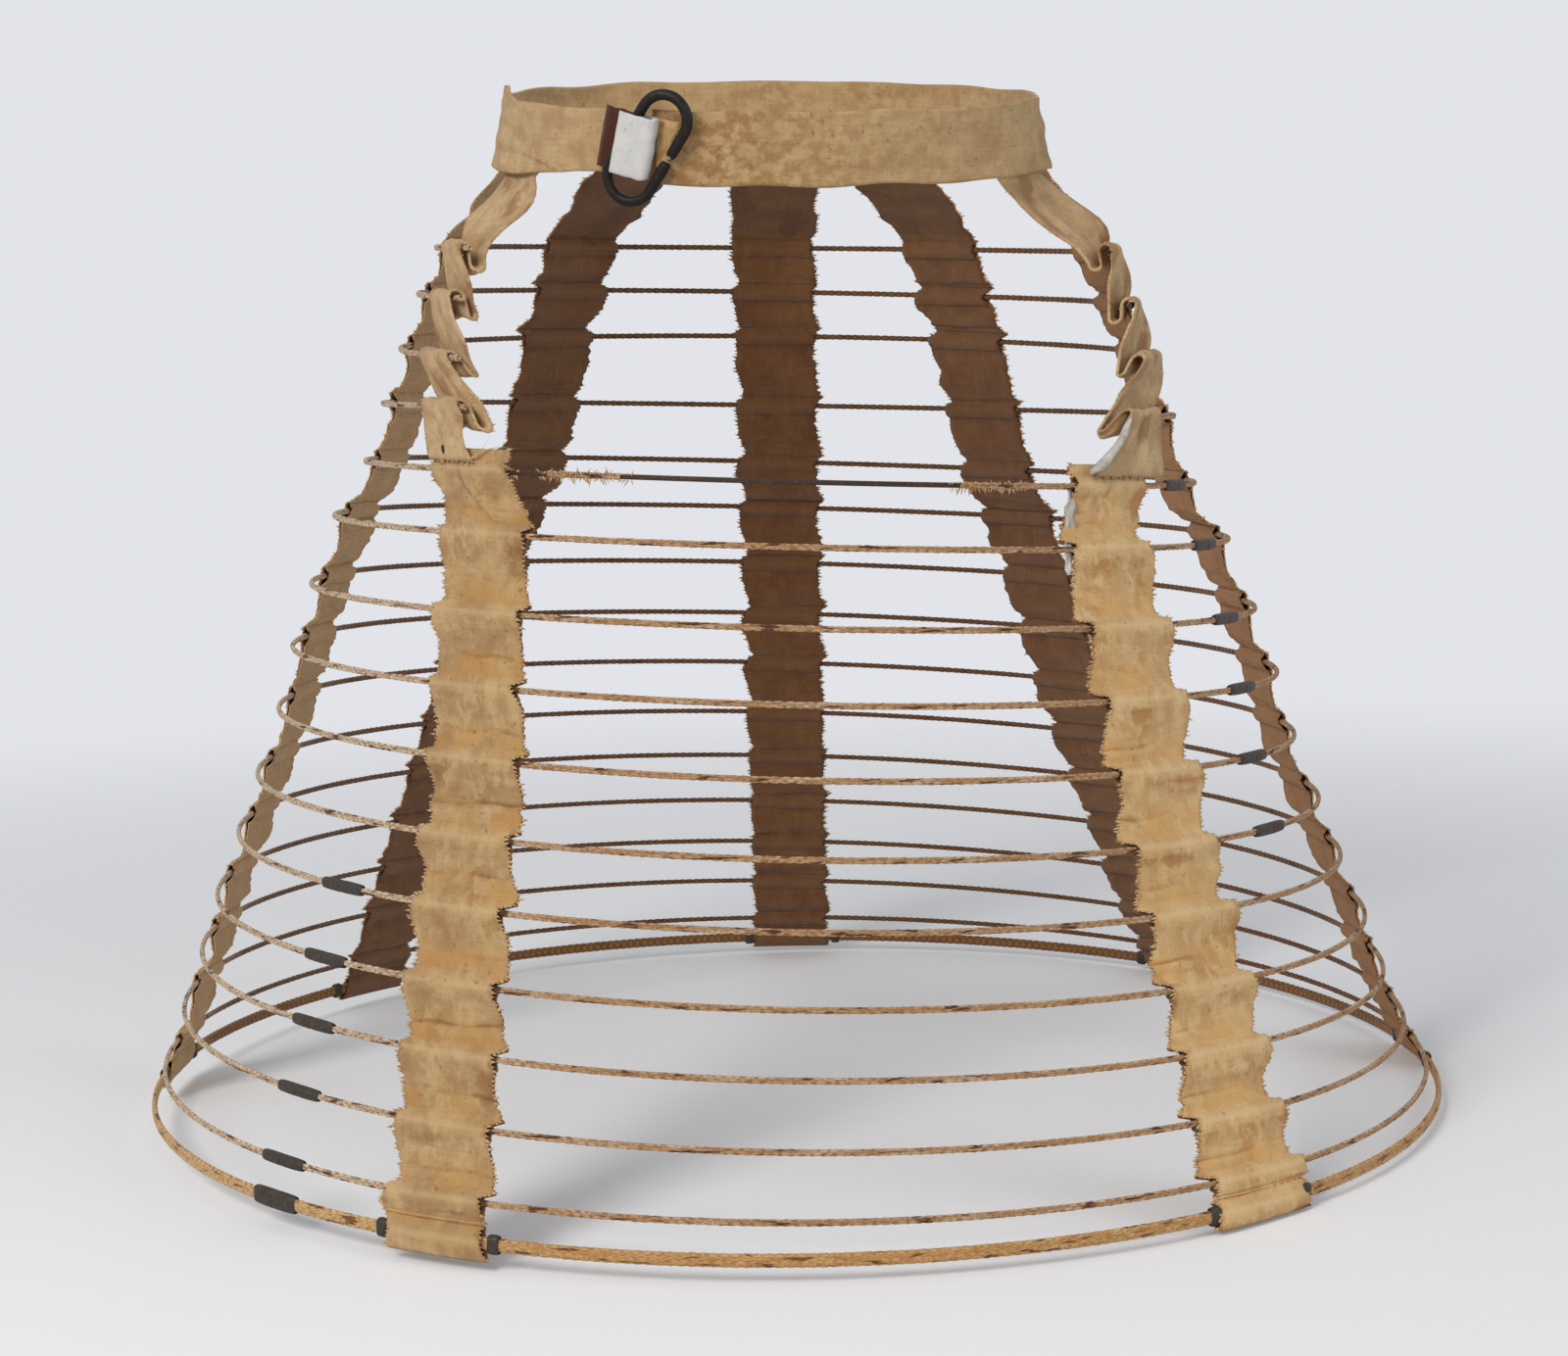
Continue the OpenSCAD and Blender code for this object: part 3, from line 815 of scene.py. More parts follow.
class BraidedHoop(Growth):
    """Grows a hoop's braided cover along its arc."""

    def __init__(self) -> None:
        """Builds the tree."""
        number = "NodeSocketFloat"
        super().__init__("braided_hoop", {
            "Radius": number, "Start": number, "Sweep": number, "Steps": "NodeSocketInt",
            "Height": number, "Thickness": number, "Drop": number, "Dip": number, "Tilt": number,
            "Pitch": number, "Relief": number, "Left Mouth": number, "Right Mouth": number,
            "Material": "NodeSocketMaterial"})
        given = self.given
        arc = self.node("GeometryNodeCurveArc", {
            "Resolution": given["Steps"], "Radius": given["Radius"],
            "Start Angle": given["Start"], "Sweep Angle": given["Sweep"]}, mode="RADIUS")
        upright = self.node("GeometryNodeSetCurveNormal", {0: arc.outputs[0]}, mode="Z_UP")
        span = self.node("GeometryNodeSplineParameter")
        along = self.math("DIVIDE", span.outputs["Length"], MM)
        path = self.tag(upright.outputs[0], "along", along)
        mouths = [self.math("DIVIDE", self.math("ABSOLUTE", self.math("SUBTRACT", along, given[label])), 5.5)
                  for label in ("Left Mouth", "Right Mouth")]
        path = self.tag(path, "mouth", self.math("SUBTRACT", 1.0, self.math("MINIMUM", *mouths), clamp=True))
        ring = self.node("GeometryNodeCurvePrimitiveCircle", {"Resolution": 9, "Radius": 0.5}, mode="RADIUS")
        size = self.node("ShaderNodeCombineXYZ", {0: given["Thickness"], 1: given["Height"], 2: 1})
        flat = self.node("GeometryNodeTransform", {"Geometry": ring.outputs[0], "Scale": size.outputs[0]})
        girth = self.node("GeometryNodeSplineParameter").outputs["Factor"]
        section = self.tag(flat.outputs[0], "girth", girth)
        tube = self.node("GeometryNodeCurveToMesh", {
            "Curve": path, "Profile Curve": section, "Fill Caps": True})
        laid = self.node("GeometryNodeSetPosition", {0: tube.outputs[0], "Offset": self.relief()})
        turn = self.node("ShaderNodeCombineXYZ", {0: given["Dip"], 1: given["Tilt"]})
        drop = self.node("ShaderNodeCombineXYZ", {2: given["Drop"]})
        hung = self.node("GeometryNodeTransform", {
            "Geometry": laid.outputs[0], "Rotation": turn.outputs[0], "Translation": drop.outputs[0]})
        self.end(hung.outputs[0])

    def tag(self, geometry: object, name: str, value: object) -> bpy.types.NodeSocket:
        """Stores a number on each point under a name.

        Args:
            geometry: The geometry.
            name: The number's name.
            value: The number.

        Returns:
            The geometry with the number.
        """
        kept = {"Geometry": geometry, "Name": name, "Value": value}
        made = self.node("GeometryNodeStoreNamedAttribute", kept, data_type="FLOAT", domain="POINT")
        return made.outputs[0]

    def read(self, name: str) -> bpy.types.NodeSocket:
        """A stored number."""
        return self.node("GeometryNodeInputNamedAttribute", {"Name": name}, data_type="FLOAT").outputs[0]

    def relief(self) -> bpy.types.NodeSocket:
        """How far the strands stand out along the surface's normal.

        Returns:
            The offset of each point.
        """
        strand = self.braid(self.read("along"), self.read("girth"), self.given["Pitch"])
        lumps = self.node("ShaderNodeTexNoise", {"Scale": 160}).outputs[0]
        height = self.math("MULTIPLY_ADD", strand, 0.5, self.math("SUBTRACT", lumps, 0.7))
        normal = self.node("GeometryNodeInputNormal").outputs[0]
        return self.times(normal, self.math("MULTIPLY", height, self.given["Relief"]))


class Fray(Growth):
    """Grows short threads from a line, each pointing out of the cloth's edge."""

    def __init__(self) -> None:
        """Builds the tree."""
        number = "NodeSocketFloat"
        super().__init__("frayed_edge", {
            "Pitch": number, "Length": number, "Thread": number, "Spread": number,
            "Seed": "NodeSocketInt", "Material": "NodeSocketMaterial"})
        given = self.given
        tuft = self.node("GeometryNodeMeshCone", {
            "Vertices": 4, "Radius Top": 0, "Radius Bottom": given["Thread"], "Depth": given["Length"]},
            fill_type="NGON").outputs[0]
        out = self.node("GeometryNodeInputNamedAttribute", {"Name": "out"}, data_type="FLOAT_VECTOR")
        stray = self.node("FunctionNodeRandomValue", {0: (-1, -1, -1), 1: (1, 1, 1), "Seed": given["Seed"]},
                          data_type="FLOAT_VECTOR").outputs[0]
        size = self.node("FunctionNodeRandomValue", {"Seed": given["Seed"]}, data_type="FLOAT")
        low, high = [s for s in size.inputs if s.enabled][:2]
        low.default_value, high.default_value = 0.45, 1.25
        grown = next(s for s in size.outputs if s.enabled)
        way = self.vector("ADD", out.outputs[0], self.times(stray, given["Spread"]))
        self.set_out(tuft, "Z", way, grown)


class Stitching(Growth):
    """Lays stitches along a line on the cloth."""

    def __init__(self) -> None:
        """Builds the tree."""
        number = "NodeSocketFloat"
        super().__init__("row_of_stitches", {
            "Pitch": number, "Length": number, "Thread": number, "Material": "NodeSocketMaterial"})
        given = self.given
        ball = self.node("GeometryNodeMeshUVSphere", {"Segments": 6, "Rings": 5, "Radius": 0.5}).outputs[0]
        size = self.node("ShaderNodeCombineXYZ", {
            0: given["Length"], 1: given["Thread"], 2: given["Thread"]}).outputs[0]
        self.set_out(ball, "X", self.node("GeometryNodeInputTangent").outputs[0], size)


def lines_mesh(name: str, lines: list[Line]) -> bpy.types.Mesh:
    """A mesh of open lines for a tree to follow.

    Args:
        name: The mesh's name.
        lines: Points in mm and the direction out of the cloth at each, for every line.

    Returns:
        The mesh, in metres, with the directions stored as "out".
    """
    mesh = bpy.data.meshes.new(name)
    edges, start = [], 0
    for points, _ in lines:
        edges += [(start + i, start + i + 1) for i in range(len(points) - 1)]
        start += len(points)
    mesh.from_pydata((np.concatenate([p for p, _ in lines]) * MM).tolist(), edges, [])
    out = mesh.attributes.new("out", "FLOAT_VECTOR", "POINT")
    out.data.foreach_set("vector", np.concatenate([o for _, o in lines]).astype(np.float32).ravel())
    return mesh


def joined(main: bpy.types.Object, *extras: bpy.types.Object) -> bpy.types.Object:
    """Joins extra meshes into a piece.

    Args:
        main: The piece.
        extras: What is joined into it.

    Returns:
        The piece.
    """
    with bpy.context.temp_override(active_object=main, object=main,
                                   selected_editable_objects=[main, *extras]):
        bpy.ops.object.join()
    return main


class Workshop:
    """What every sub-assembly shares: finishes, growing trees and the hand-over to the frame."""

    def __init__(self) -> None:
        """Makes the finishes and trees."""
        self.finish = Finishes()
        self.braid = BraidedHoop()
        self.fray = Fray()
        self.stitching = Stitching()

    def frayed(self, name: str, lines: list[Line], pitch: float, length: float,
               seed: int, spread: float = 0.5, thread: float = 0.3) -> bpy.types.Object:
        """Short threads along lines, sizes in mm.

        Args:
            name: Name of the threads' object.
            lines: Points and the direction out of the cloth, for every line.
            pitch: Space between threads.
            length: Their length.
            seed: Fixes their scatter.
            spread: How far they stray from their direction, as a share of it.
            thread: Radius of a thread.

        Returns:
            The threads.
        """
        return self.fray.bake(name, lines_mesh(name, lines), Pitch=pitch * MM, Length=length * MM,
                              Thread=thread * MM, Spread=spread, Seed=seed, Material=self.finish.thread)

    def stitched(self, name: str, lines: list[Line], pitch: float = 3.4,
                 length: float = 2.2, thread: float = 0.55) -> bpy.types.Object:
        """Stitches along lines, sizes in mm.

        Args:
            name: Name of the stitches' object.
            lines: Points and the direction out of the cloth, for every line.
            pitch: Space between stitches.
            length: Their length.
            thread: Their thickness.

        Returns:
            The stitches.
        """
        return self.stitching.bake(name, lines_mesh(name, lines), Pitch=pitch * MM, Length=length * MM,
                                   Thread=thread * MM, Material=self.finish.stitch)

    def hand_over(self, piece: bpy.types.Object, slot: str, *nodes: str) -> None:
        """Rides a finished piece on the frame for the nodes it stands for.

        Args:
            piece: The piece.
            slot: Not used.
            nodes: Names of the source's nodes that it replaces.
        """
        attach(piece, BODY)
        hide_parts(*nodes)
        LOG.info("%s: %d faces", piece.name, len(piece.data.polygons))


@dataclass
class BentStrip:
    """A strip of cloth that bends from one place on the cage to the next."""

    azimuths: tuple[float, ...]
    places: Array
    shares: tuple[float, ...]

    def __post_init__(self) -> None:
        """Works out the strip's middle line, flat against its mean azimuth."""
        self.mid = (min(self.azimuths) + max(self.azimuths)) / 2
        aside = self.places[:, 0] * np.sin(np.radians(np.array(self.azimuths) - self.mid))
        line = np.stack([aside, -self.places[:, 1]], -1)
        line = np.concatenate([line[:1] * 9 - line[1:2] * 8, line, line[-1:] * 9 - line[-2:-1] * 8])
        self.middles, self.drops = line.T
        self.widths = np.array([self.shares[0], *self.shares, self.shares[-1]])

    def azimuth(self, across: Array, r: Array, z: Array) -> Array:
        """Azimuth in degrees of places across the full width at radii and heights.

        Args:
            across: Places across the strip, in mm.
            r: Radii.
            z: Heights.

        Returns:
            The azimuths.
        """
        drop = -np.asarray(z)
        x = np.interp(drop, self.drops, self.middles) + across * np.interp(drop, self.drops, self.widths)
        return self.mid + np.degrees(np.arcsin(np.clip(x / r, -0.99, 0.99)))

    def points(self, across: Array, line: Array) -> Array:
        """Points of the strip for places across it and radii and heights."""
        r, z = line[..., 0], line[..., 1]
        return round_axis(r, np.radians(self.azimuth(across, r, z)), z)


def outward(way: Array) -> Array:
    """Outward normal of a direction down the cage, both as radius and height."""
    return np.stack([-way[..., 1], way[..., 0]], -1)


@dataclass
class HangingTape:
    """A double-woven tape with a pocket for every hoop, folded at the hem."""

    name: str
    azimuths: tuple[tuple[float, float], ...]
    first: int
    plumb: float
    seed: int
    step: float
    folds: tuple[float, float]
    columns: int = 15
    pocket_rows: int = 9
    fall_rows: int = 14
    flare: float = 0.0
    wider: float = 0.0
    pleat: float = 0.0
    cling: float = 0.3
    top_lap: float = 9.0
    pleat_line: tuple[float, float] = (-0.12, 0.32)

    def azimuth(self, k: int) -> float:
        """Azimuth of the tape's middle at hoop k."""
        top, end = CAGE.height(self.first), CAGE.height(CAGE.last)
        return float(np.interp((CAGE.height(k) - top) / (end - top), *zip(*self.azimuths)))

    def hoop_places(self, across: Array) -> tuple[BentStrip, Array]:
        """Where each column crosses each hoop, as radius and height, and the strip itself.

        Args:
            across: Places of the columns, in mm from the tape's middle.

        Returns:
            The strip, then radius and height by hoop and column.
        """
        span = range(self.first, CAGE.last + 1)
        azimuths = tuple(self.azimuth(k) for k in span)
        places = np.array([CAGE.hoop_point(k, az) for k, az in zip(span, azimuths)])
        strip = BentStrip(azimuths, places, (1.0,) * len(places))
        rows = [CAGE.hoop_point(k, strip.azimuth(across, *place)) for k, place in zip(span, places)]
        return strip, np.array(rows)

    def courses(self, across: Array) -> tuple[BentStrip, dict[str, Array]]:
        """The tape's middle, row by row from its top to the hem.

        Args:
            across: Places of the columns, in mm from the tape's middle.

        Returns:
            The strip, and by name: the middle's radius and height, its outward direction, half
            the opening between the plies, and how far each row is into a pocket or below one.
        """
        strip, p = self.hoop_places(across)
        n, ply = len(p), CAGE.ply_t
        step = np.linalg.norm(np.diff(p, axis=0), axis=-1)
        way = np.array([unit(p[min(i + 1, n - 1)] - p[max(min(i - 1, n - 3), 0)]) for i in range(n)])
        reach = []
        for i in range(n):
            near = np.minimum(step[max(i - 1, 0)], step[min(i, n - 2)])
            lap = CAGE.section(self.first + i)[0] / 2 + CAGE.pocket_lap
            reach.append(np.minimum(lap, near * CAGE.pocket_max_share - ply) + ply)
        names = ("middle", "out", "open", "ridge", "below", "fall", "lean", "drape")
        rows: dict[str, list[Array]] = {name: [] for name in names}

        def course(middle: Array, out: Array, *numbers: float) -> None:
            """Adds one row.

            Args:
                middle: Its place, as radius and height by columns.
                out: Its outward direction.
                numbers: Its other numbers, in the order of the names.
            """
            spread = (number * np.ones(len(across)) for number in numbers)
            for key, value in zip(rows, (middle, out, *spread)):
                rows[key].append(value)

        start = p[0] - way[0] * reach[0][:, None]
        if self.first == CAGE.half_n:
            top, top_rows = p[0] - way[0] * self.top_lap, 4
        else:
            azimuth = strip.azimuth(across, *CAGE.waist_point(self.azimuth(0)))
            top, top_rows = CAGE.waist_point(azimuth) + unit(p[0] - CAGE.waist_point(azimuth)) * 0.4, 12
        for j in range(top_rows):
            s = j / top_rows
            course(lerp(top, start, s), outward(unit(start - top)), 0, 0, 1, -1 + s, 0, 0)
        for i in range(n):
            room = CAGE.section(self.first + i)[1] / 2 + self.cling
            above = -1 if 0 < i < n - 1 else 0.4
            for a in np.linspace(-math.pi / 2, math.pi / 2, self.pocket_rows):
                middle = p[i] + way[i] * (reach[i] * math.sin(a))[:, None]
                low = a > -0.6
                drape = 0.6 * room * (1 - math.cos(a)) if a > 0 and i < n - 1 else 0
                course(middle, outward(way[i]), room * math.cos(a), math.cos(a) ** 2, max(0, math.sin(a)),
                       i if low else i - 1e-3, (1 if i < n - 1 else 0.4) if low else above, drape)
            if i == n - 1:
                break
            begin = p[i] + way[i] * reach[i][:, None]
            finish = p[i + 1] - way[i + 1] * reach[i + 1][:, None]
            run = np.linalg.norm(finish - begin, axis=-1, keepdims=True)
            sag = self.plumb * np.minimum(1, run / 8)
            corner = lerp((begin + finish) / 2, np.stack([begin[:, 0], finish[:, 1]], -1), sag)
            for j in range(1, self.fall_rows):
                s = j / self.fall_rows
                middle = lerp(lerp(begin, corner, s), lerp(corner, finish, s), s)
                slope = unit(lerp(corner - begin, finish - corner, s))
                course(middle, outward(slope), 0, 0, max(0.0, 1 - s * 2.2), i + s,
                       lerp(1, -1 if i < n - 2 else 0.4, s), 0.6 * room * max(0.0, 1 - s / 0.7) ** 2)
        return strip, {key: np.array(value) for key, value in rows.items()}

    def sway(self, along: Array, across: Array, share: Array, fall: Array) -> Array:
        """Crumples and folds of the cloth out of its own surface, in mm.

        Args:
            along: Places down the tape, in mm.
            across: Places across it, in mm.
            share: Places across it, from -1 to 1.
            fall: The hoop above each row, plus the share of the way to the next one.

        Returns:
            How far each place stands out.
        """
        half = CAGE.tape_w / 2
        soft = 0.4 * ripples(self.seed, 26, along, across * 0.8)
        soft = soft + 0.2 * ripples(self.seed + 1, 11, along, across)
        creases = np.maximum(0, ripples(self.seed + 2, 30, along * 1.6, across * 0.25) - 0.55) * 1.1
        out = soft * (0.7 + 0.3 * np.abs(across) / half) - creases + self.fold_lines(share, fall)[0]
        down = fall % 1
        ridge = share - lerp(*self.pleat_line, down)
        width = np.where(ridge < 0, 0.1, 0.3)
        pleat = np.exp(-(ridge / width) ** 2) * np.sin(np.pi * np.clip(down, 0, 1)) ** 0.5
        return out + self.pleat * pleat * (np.floor(fall) == 0)

    def fold_lines(self, share: Array, fall: Array) -> tuple[Array, Array]:
        """The fold across the cloth between each two hoops.

        Args:
            share: Places across the tape, from -1 to 1.
            fall: The hoop above each row, plus the share of the way to the next one.

        Returns:
            How far the folds stand out, in mm, and the painted shade in their creases.
        """
        rng = np.random.default_rng(self.seed + 7)
        down = fall % 1
        out, crease_shade = np.zeros(fall.shape), np.zeros(fall.shape)
        for i in range(CAGE.last - self.first):
            place, lean, depth = rng.uniform(0.38, 0.62), rng.uniform(-0.08, 0.08), rng.uniform(0.5, 1.2)
            line = down - place - lean * share - 0.03 * np.sin(share * 5 + i)
            fold = 0.9 * np.exp(-((line - 0.17) / 0.15) ** 2) - 0.8 * np.exp(-((line - 0.02) / 0.045) ** 2)
            side = np.clip(self.folds[0] + self.folds[1] * share, 0, 1)
            here = (np.floor(fall) == i) * depth * side
            out = out + here * fold * 1.5
            # Painted shade: a dark line in the crease of each fold.
            crease_shade = crease_shade + here * np.exp(-((line - 0.01) / 0.06) ** 2)
        return out, crease_shade

    def build(self, shop: Workshop, material: bpy.types.Material) -> tuple[bpy.types.Object, float]:
        """Makes the tape.

        Args:
            shop: The shared finishes and trees.
            material: The tape's finish.

        Returns:
            The finished piece and the tape's length in mm.
        """
        share = np.linspace(-1, 1, self.columns)
        share = np.sign(share) * np.abs(share) ** 0.85
        strip, rows = self.courses(share * CAGE.tape_w / 2)
        along = lengths(rows["middle"][:, self.columns // 2])
        down = (along / along[-1])[:, None]
        wide = CAGE.tape_w / 2 - 0.9 + 0.7 * rows["below"][:, :1]
        wide = wide + 0.5 * ripples(self.seed + 3, 17, along)[:, None]
        wide = wide + self.wider + self.flare * down ** 6
        drift = 0.6 * ripples(self.seed + 4, 31, along)[:, None] + self.step * rows["lean"][:, :1]
        across = share * wide + drift
        ragged = np.random.default_rng(self.seed).uniform(-0.6, 0.4, (len(along), 2))
        ragged[:, 0] += np.where(np.arange(len(along)) % 2, 0.75, -0.35)
        across[:, 0] -= ragged[:, 0]
        across[:, -1] += ragged[:, 1]
        sway = self.sway(along[:, None], across, share, rows["fall"]) * (1 - 0.75 * rows["ridge"])
        sway = sway * np.minimum(1, along / 12)[:, None]
        ply, out = CAGE.ply_t, rows["out"]
        front = rows["middle"] + out * (rows["open"] + rows["drape"] + ply / 2 + sway)[..., None]
        back = rows["middle"] + out * (sway - rows["open"] - ply / 2)[..., None]
        hem = rows["middle"][-1:] + unit(np.diff(rows["middle"][-2:], axis=0)) * ply * 0.9
        line = np.concatenate([front, hem, back[::-1]])
        places = np.concatenate([across, across[-1:], across[::-1]])
        middle = strip.points(places, line)
        flat = np.concatenate([along, along[-1:] + 0.5, 2 * along[-1] + 1 - along[::-1]])
        cloth = np.stack(np.broadcast_arrays(places, flat[:, None]), -1)
        stain = self.stains(along[:, None], across, rows, share)
        soft = np.clip((rows["fall"] % 1 - 0.3) / 0.35, 0, 1) * (1 - rows["ridge"])
        golden = soft * np.clip(0.75 + 0.6 * ripples(self.seed + 8, 21, along[:, None], across), 0, 1)
        # The ridge mark is a painted highlight along each pocket; the staining mark also carries painted
        # shade.
        folded = {"ridge": rows["ridge"] ** 9, "stain": stain, "golden": golden}
        wear_and_light = {key: np.concatenate([v, v[-1:], v[::-1]]) for key, v in folded.items()}
        count = len(along)
        # The inner ply takes the finish's inner colour: painted shade on most tapes, painted light on the
        # side tapes.
        wear_and_light["inside"] = np.concatenate([np.zeros(count), [0.4], np.full(count, 0.75)])[:, None]
        shell = Shell()
        shell.ply(middle, ply * 0.46, cloth, **wear_and_light)
        piece = shell.build(self.name + "_cloth", material)
        sides = side_edges(middle[:count])
        fringe = shop.frayed(self.name + "_fringe", sides, 1.7, 1.9, self.seed, 0.45, 0.6)
        seam = middle[count - 2 - self.pocket_rows] if self.first else middle[count - 1 - self.pocket_rows]
        seam, lift = seam[1:-1], cloth_normal(middle)[count - 1 - self.pocket_rows][1:-1]
        row = seam + lift * ply * 0.5 * np.sign((lift[:, :2] * seam[:, :2]).sum(-1))[:, None]
        stitches = shop.stitched(self.name + "_stitches", [(row, lift)])
        return joined(piece, fringe, stitches), float(along[-1])

    def stains(self, along: Array, across: Array, rows: dict[str, Array], share: Array) -> Array:
        """Rust, dirt and painted shade: painted shade below each hoop, along the pleat and in the creases of
        the folds, rust where a hoop leaves its pocket, and worn patches.

        Args:
            along: Places down the tape, in mm.
            across: Places across it, in mm.
            rows: The tape's rows, from courses.
            share: Places across it, from -1 to 1.

        Returns:
            How much staining and painted shade each place has, from 0 to 1.
        """
        patch = np.clip(0.4 + ripples(self.seed + 5, 23, along, across * 0.7), 0, 1.4)
        # Painted shade in patches below each hoop.
        low = rows["below"] * (1 - rows["ridge"]) * patch * 0.8
        mouth = rows["ridge"] * np.clip((-np.sign(self.step) * share - 0.82) / 0.18, 0, 1)
        worn = np.clip(ripples(self.seed + 6, 34, along * 0.8, across * 1.3), -0.1, 1.6) + 0.1
        # Painted shade along the steep side of the pleat, in the first segment only.
        ridge = share - lerp(*self.pleat_line, rows["fall"] % 1) + 0.1
        shade = np.exp(-((ridge / 0.07) ** 2)) * (np.floor(rows["fall"]) == 0) * min(1, self.pleat)
        # Painted shade in the creases of the folds.
        crease_shade = self.fold_lines(share, rows["fall"])[1]
        return np.clip(np.maximum(np.maximum(low * 0.7, mouth), shade) + worn * 0.45 + crease_shade * 0.9, 0, 1)


@dataclass
class FrontStrap:
    """A strap from the waistband to the first full hoop, tucked and rolled at each half hoop."""

    name: str
    azimuths: tuple[float, ...]
    tuck_drop: float
    seed: int
    columns: int = 19
    rolled: bool = False
    roll_r: float = 2.9
    tuck_r: float = 1.8
    shares: tuple[float, ...] = (1, 0.76, 0.7, 0.68, 0.68, 0.85)
    spread: tuple[float, ...] = (0.82, 0.52, 0.53, 0.57, 0.66, 0.6)
    aside: tuple[float, ...] = (-3, -4.5, -5.5, -6.5, -5, -1)
    turns: tuple[float, ...] = (6, 0, 0, 0, 0)
    fall_rows: int = 12
    arc_rows: int = 11
    tops: tuple[float, ...] = (7.0, 4.5, 2.2)
    top_in: float = 2.0
    end_rise: float = 2.4
    end_lift: float = 3.0

    def strip(self) -> BentStrip:
        """The strap's way down the cage, from the waistband to the first full hoop.

        Returns:
            The strip.
        """
        places = [CAGE.waist_point(self.azimuths[0])]
        places += [CAGE.hoop_point(k, az) for k, az in enumerate(self.azimuths[1:])]
        turned = [az + math.degrees(off / place[0])
                  for az, off, place in zip(self.azimuths, self.aside, places)]
        return BentStrip(tuple(turned), np.array(places), self.spread)

    def flat_width(self) -> float:
        """The cut's mean width, in mm."""
        return CAGE.tape_w * sum(self.spread) / len(self.spread)

    def hoop_end(self, k: int) -> float:
        """Azimuth where half hoop k ends inside the strap's roll.

        Args:
            k: The hoop, counted from the highest half hoop.

        Returns:
            The azimuth in degrees.
        """
        az = self.azimuths[k + 1]
        inset = CAGE.tape_w * self.shares[k + 1] / 2 - 2 * CAGE.pocket_lap
        return az - math.copysign(math.degrees(inset / CAGE.radius(k)), az)

    def line(self, strip: BentStrip, across: Array) -> Array:
        """The strap's middle as radius and height, by rows and columns.

        Args:
            strip: The strap's way.
            across: Places of the columns, in mm.

        Returns:
            Radius and height by rows and columns.
        """

        def fall(begin: Array, end: Array) -> list[Array]:
            """An eased drop between two places.

            Args:
                begin: Where it begins, as radius and height by columns.
                end: Where it ends.

            Returns:
                Its rows.
            """
            return [np.stack([lerp(begin[:, 0], end[:, 0], (1 - math.cos(math.pi * s)) / 2),
                              lerp(begin[:, 1], end[:, 1], s)], -1)
                    for s in np.linspace(0, 1, self.fall_rows)]

        def arc(centre: Array, r: float, begin: float, end: float) -> list[Array]:
            """Part of a circle, its ends in degrees."""
            return [centre + r * np.array([math.cos(a), math.sin(a)])
                    for a in np.radians(np.linspace(begin, end, self.arc_rows))]

        def at_hoop(k: int) -> Array:
            """Where the columns cross a hoop."""
            r, z = CAGE.hoop_point(k, self.azimuths[k + 1])
            return CAGE.hoop_point(k, strip.azimuth(across, r, z))

        r, z = CAGE.waist_point(self.azimuths[0])
        begin = CAGE.waist_point(strip.azimuth(across, r, z)) - np.array([self.top_in, 0])
        rows: list[Array] = [begin + np.array([0, rise]) for rise in self.tops]
        for k in range(CAGE.half_n):
            roll = at_hoop(k)
            tuck = roll - np.array([self.roll_r + self.tuck_r, self.tuck_drop])
            rows += fall(begin, tuck - np.array([self.tuck_r, 0]))
            rows += arc(tuck, self.tuck_r, 195, 360)
            rows += arc(roll, self.roll_r, 180, 15)
            begin = roll + np.array([self.roll_r, 0])
        end = at_hoop(CAGE.half_n)
        first, second = (CAGE.hoop_point(CAGE.half_n + i, self.azimuths[-1]) for i in (0, 1))
        way = unit(second - first)
        end = end - way * self.end_rise + outward(way) * self.end_lift
        return np.array(rows + fall(begin, end))

    def build(self, shop: Workshop) -> tuple[bpy.types.Object, float]:
        """Makes the strap with its frayed lower edge.

        Args:
            shop: The shared finishes and trees.

        Returns:
            The finished piece and the strap's length in mm.
        """
        share = np.linspace(-1, 1, self.columns)
        strip = self.strip()
        line = self.line(strip, share * CAGE.tape_w / 2)
        along = lengths(line[:, self.columns // 2])[:, None]
        across = share * (CAGE.tape_w / 2 - 0.8 + 1.1 * ripples(self.seed, 23, along))
        across = across + 0.9 * ripples(self.seed + 5, 29, along)
        way = unit(np.gradient(line, axis=0))
        sway = 0.6 * ripples(self.seed + 1, 21, along, across) - 1.3 * np.maximum(
            0, ripples(self.seed + 2, 20, across * 1.5, along * 0.2) - 0.35)
        sway = sway * np.minimum(1, np.minimum(along, along[-1] - along) / 8)
        outer = share * np.sign(self.azimuths[0])
        outer = np.where(outer < 0, 0.35, 1) * outer
        turned = np.zeros(len(line))
        bow = np.sin(np.pi * np.linspace(0, 1, self.fall_rows) ** 1.3)
        for k, turn in enumerate(self.turns):
            first = len(self.tops) + k * (self.fall_rows + 2 * self.arc_rows)
            turned[first:first + self.fall_rows] = turn * bow
        leaf = np.array([1.0, 0]) * (outer * turned[:, None])[..., None]
        middle = strip.points(across, line + outward(way) * sway[..., None] + leaf)
        cloth = np.stack(np.broadcast_arrays(across, along), -1)
        stain = np.clip(ripples(self.seed + 3, 24, along, across) - 0.1, 0, 0.9)
        shell = Shell()
        shell.ply(middle, CAGE.ply_t * 0.95, cloth, stain=stain)
        piece = shell.build(self.name + "_cloth", shop.finish.strap)
        ends = [(middle[-1], unit(middle[-1] - middle[-2]))]
        fringe = shop.frayed(self.name + "_fringe", ends, 0.8, 2.6, self.seed, 0.7)
        selvedge = shop.frayed(self.name + "_selvedge", side_edges(middle), 1.6, 1.3, self.seed, 0.8, 0.3)
        if self.rolled:
            marks = [self.edge_roll(shop, middle[-self.fall_rows:]), self.lining_strip(shop)]
        else:
            marks = [self.hole(shop, middle[-5:]), self.loose_threads(shop, middle[-1, -3])]
        return joined(piece, fringe, selvedge, *marks), float(along[-1, 0])

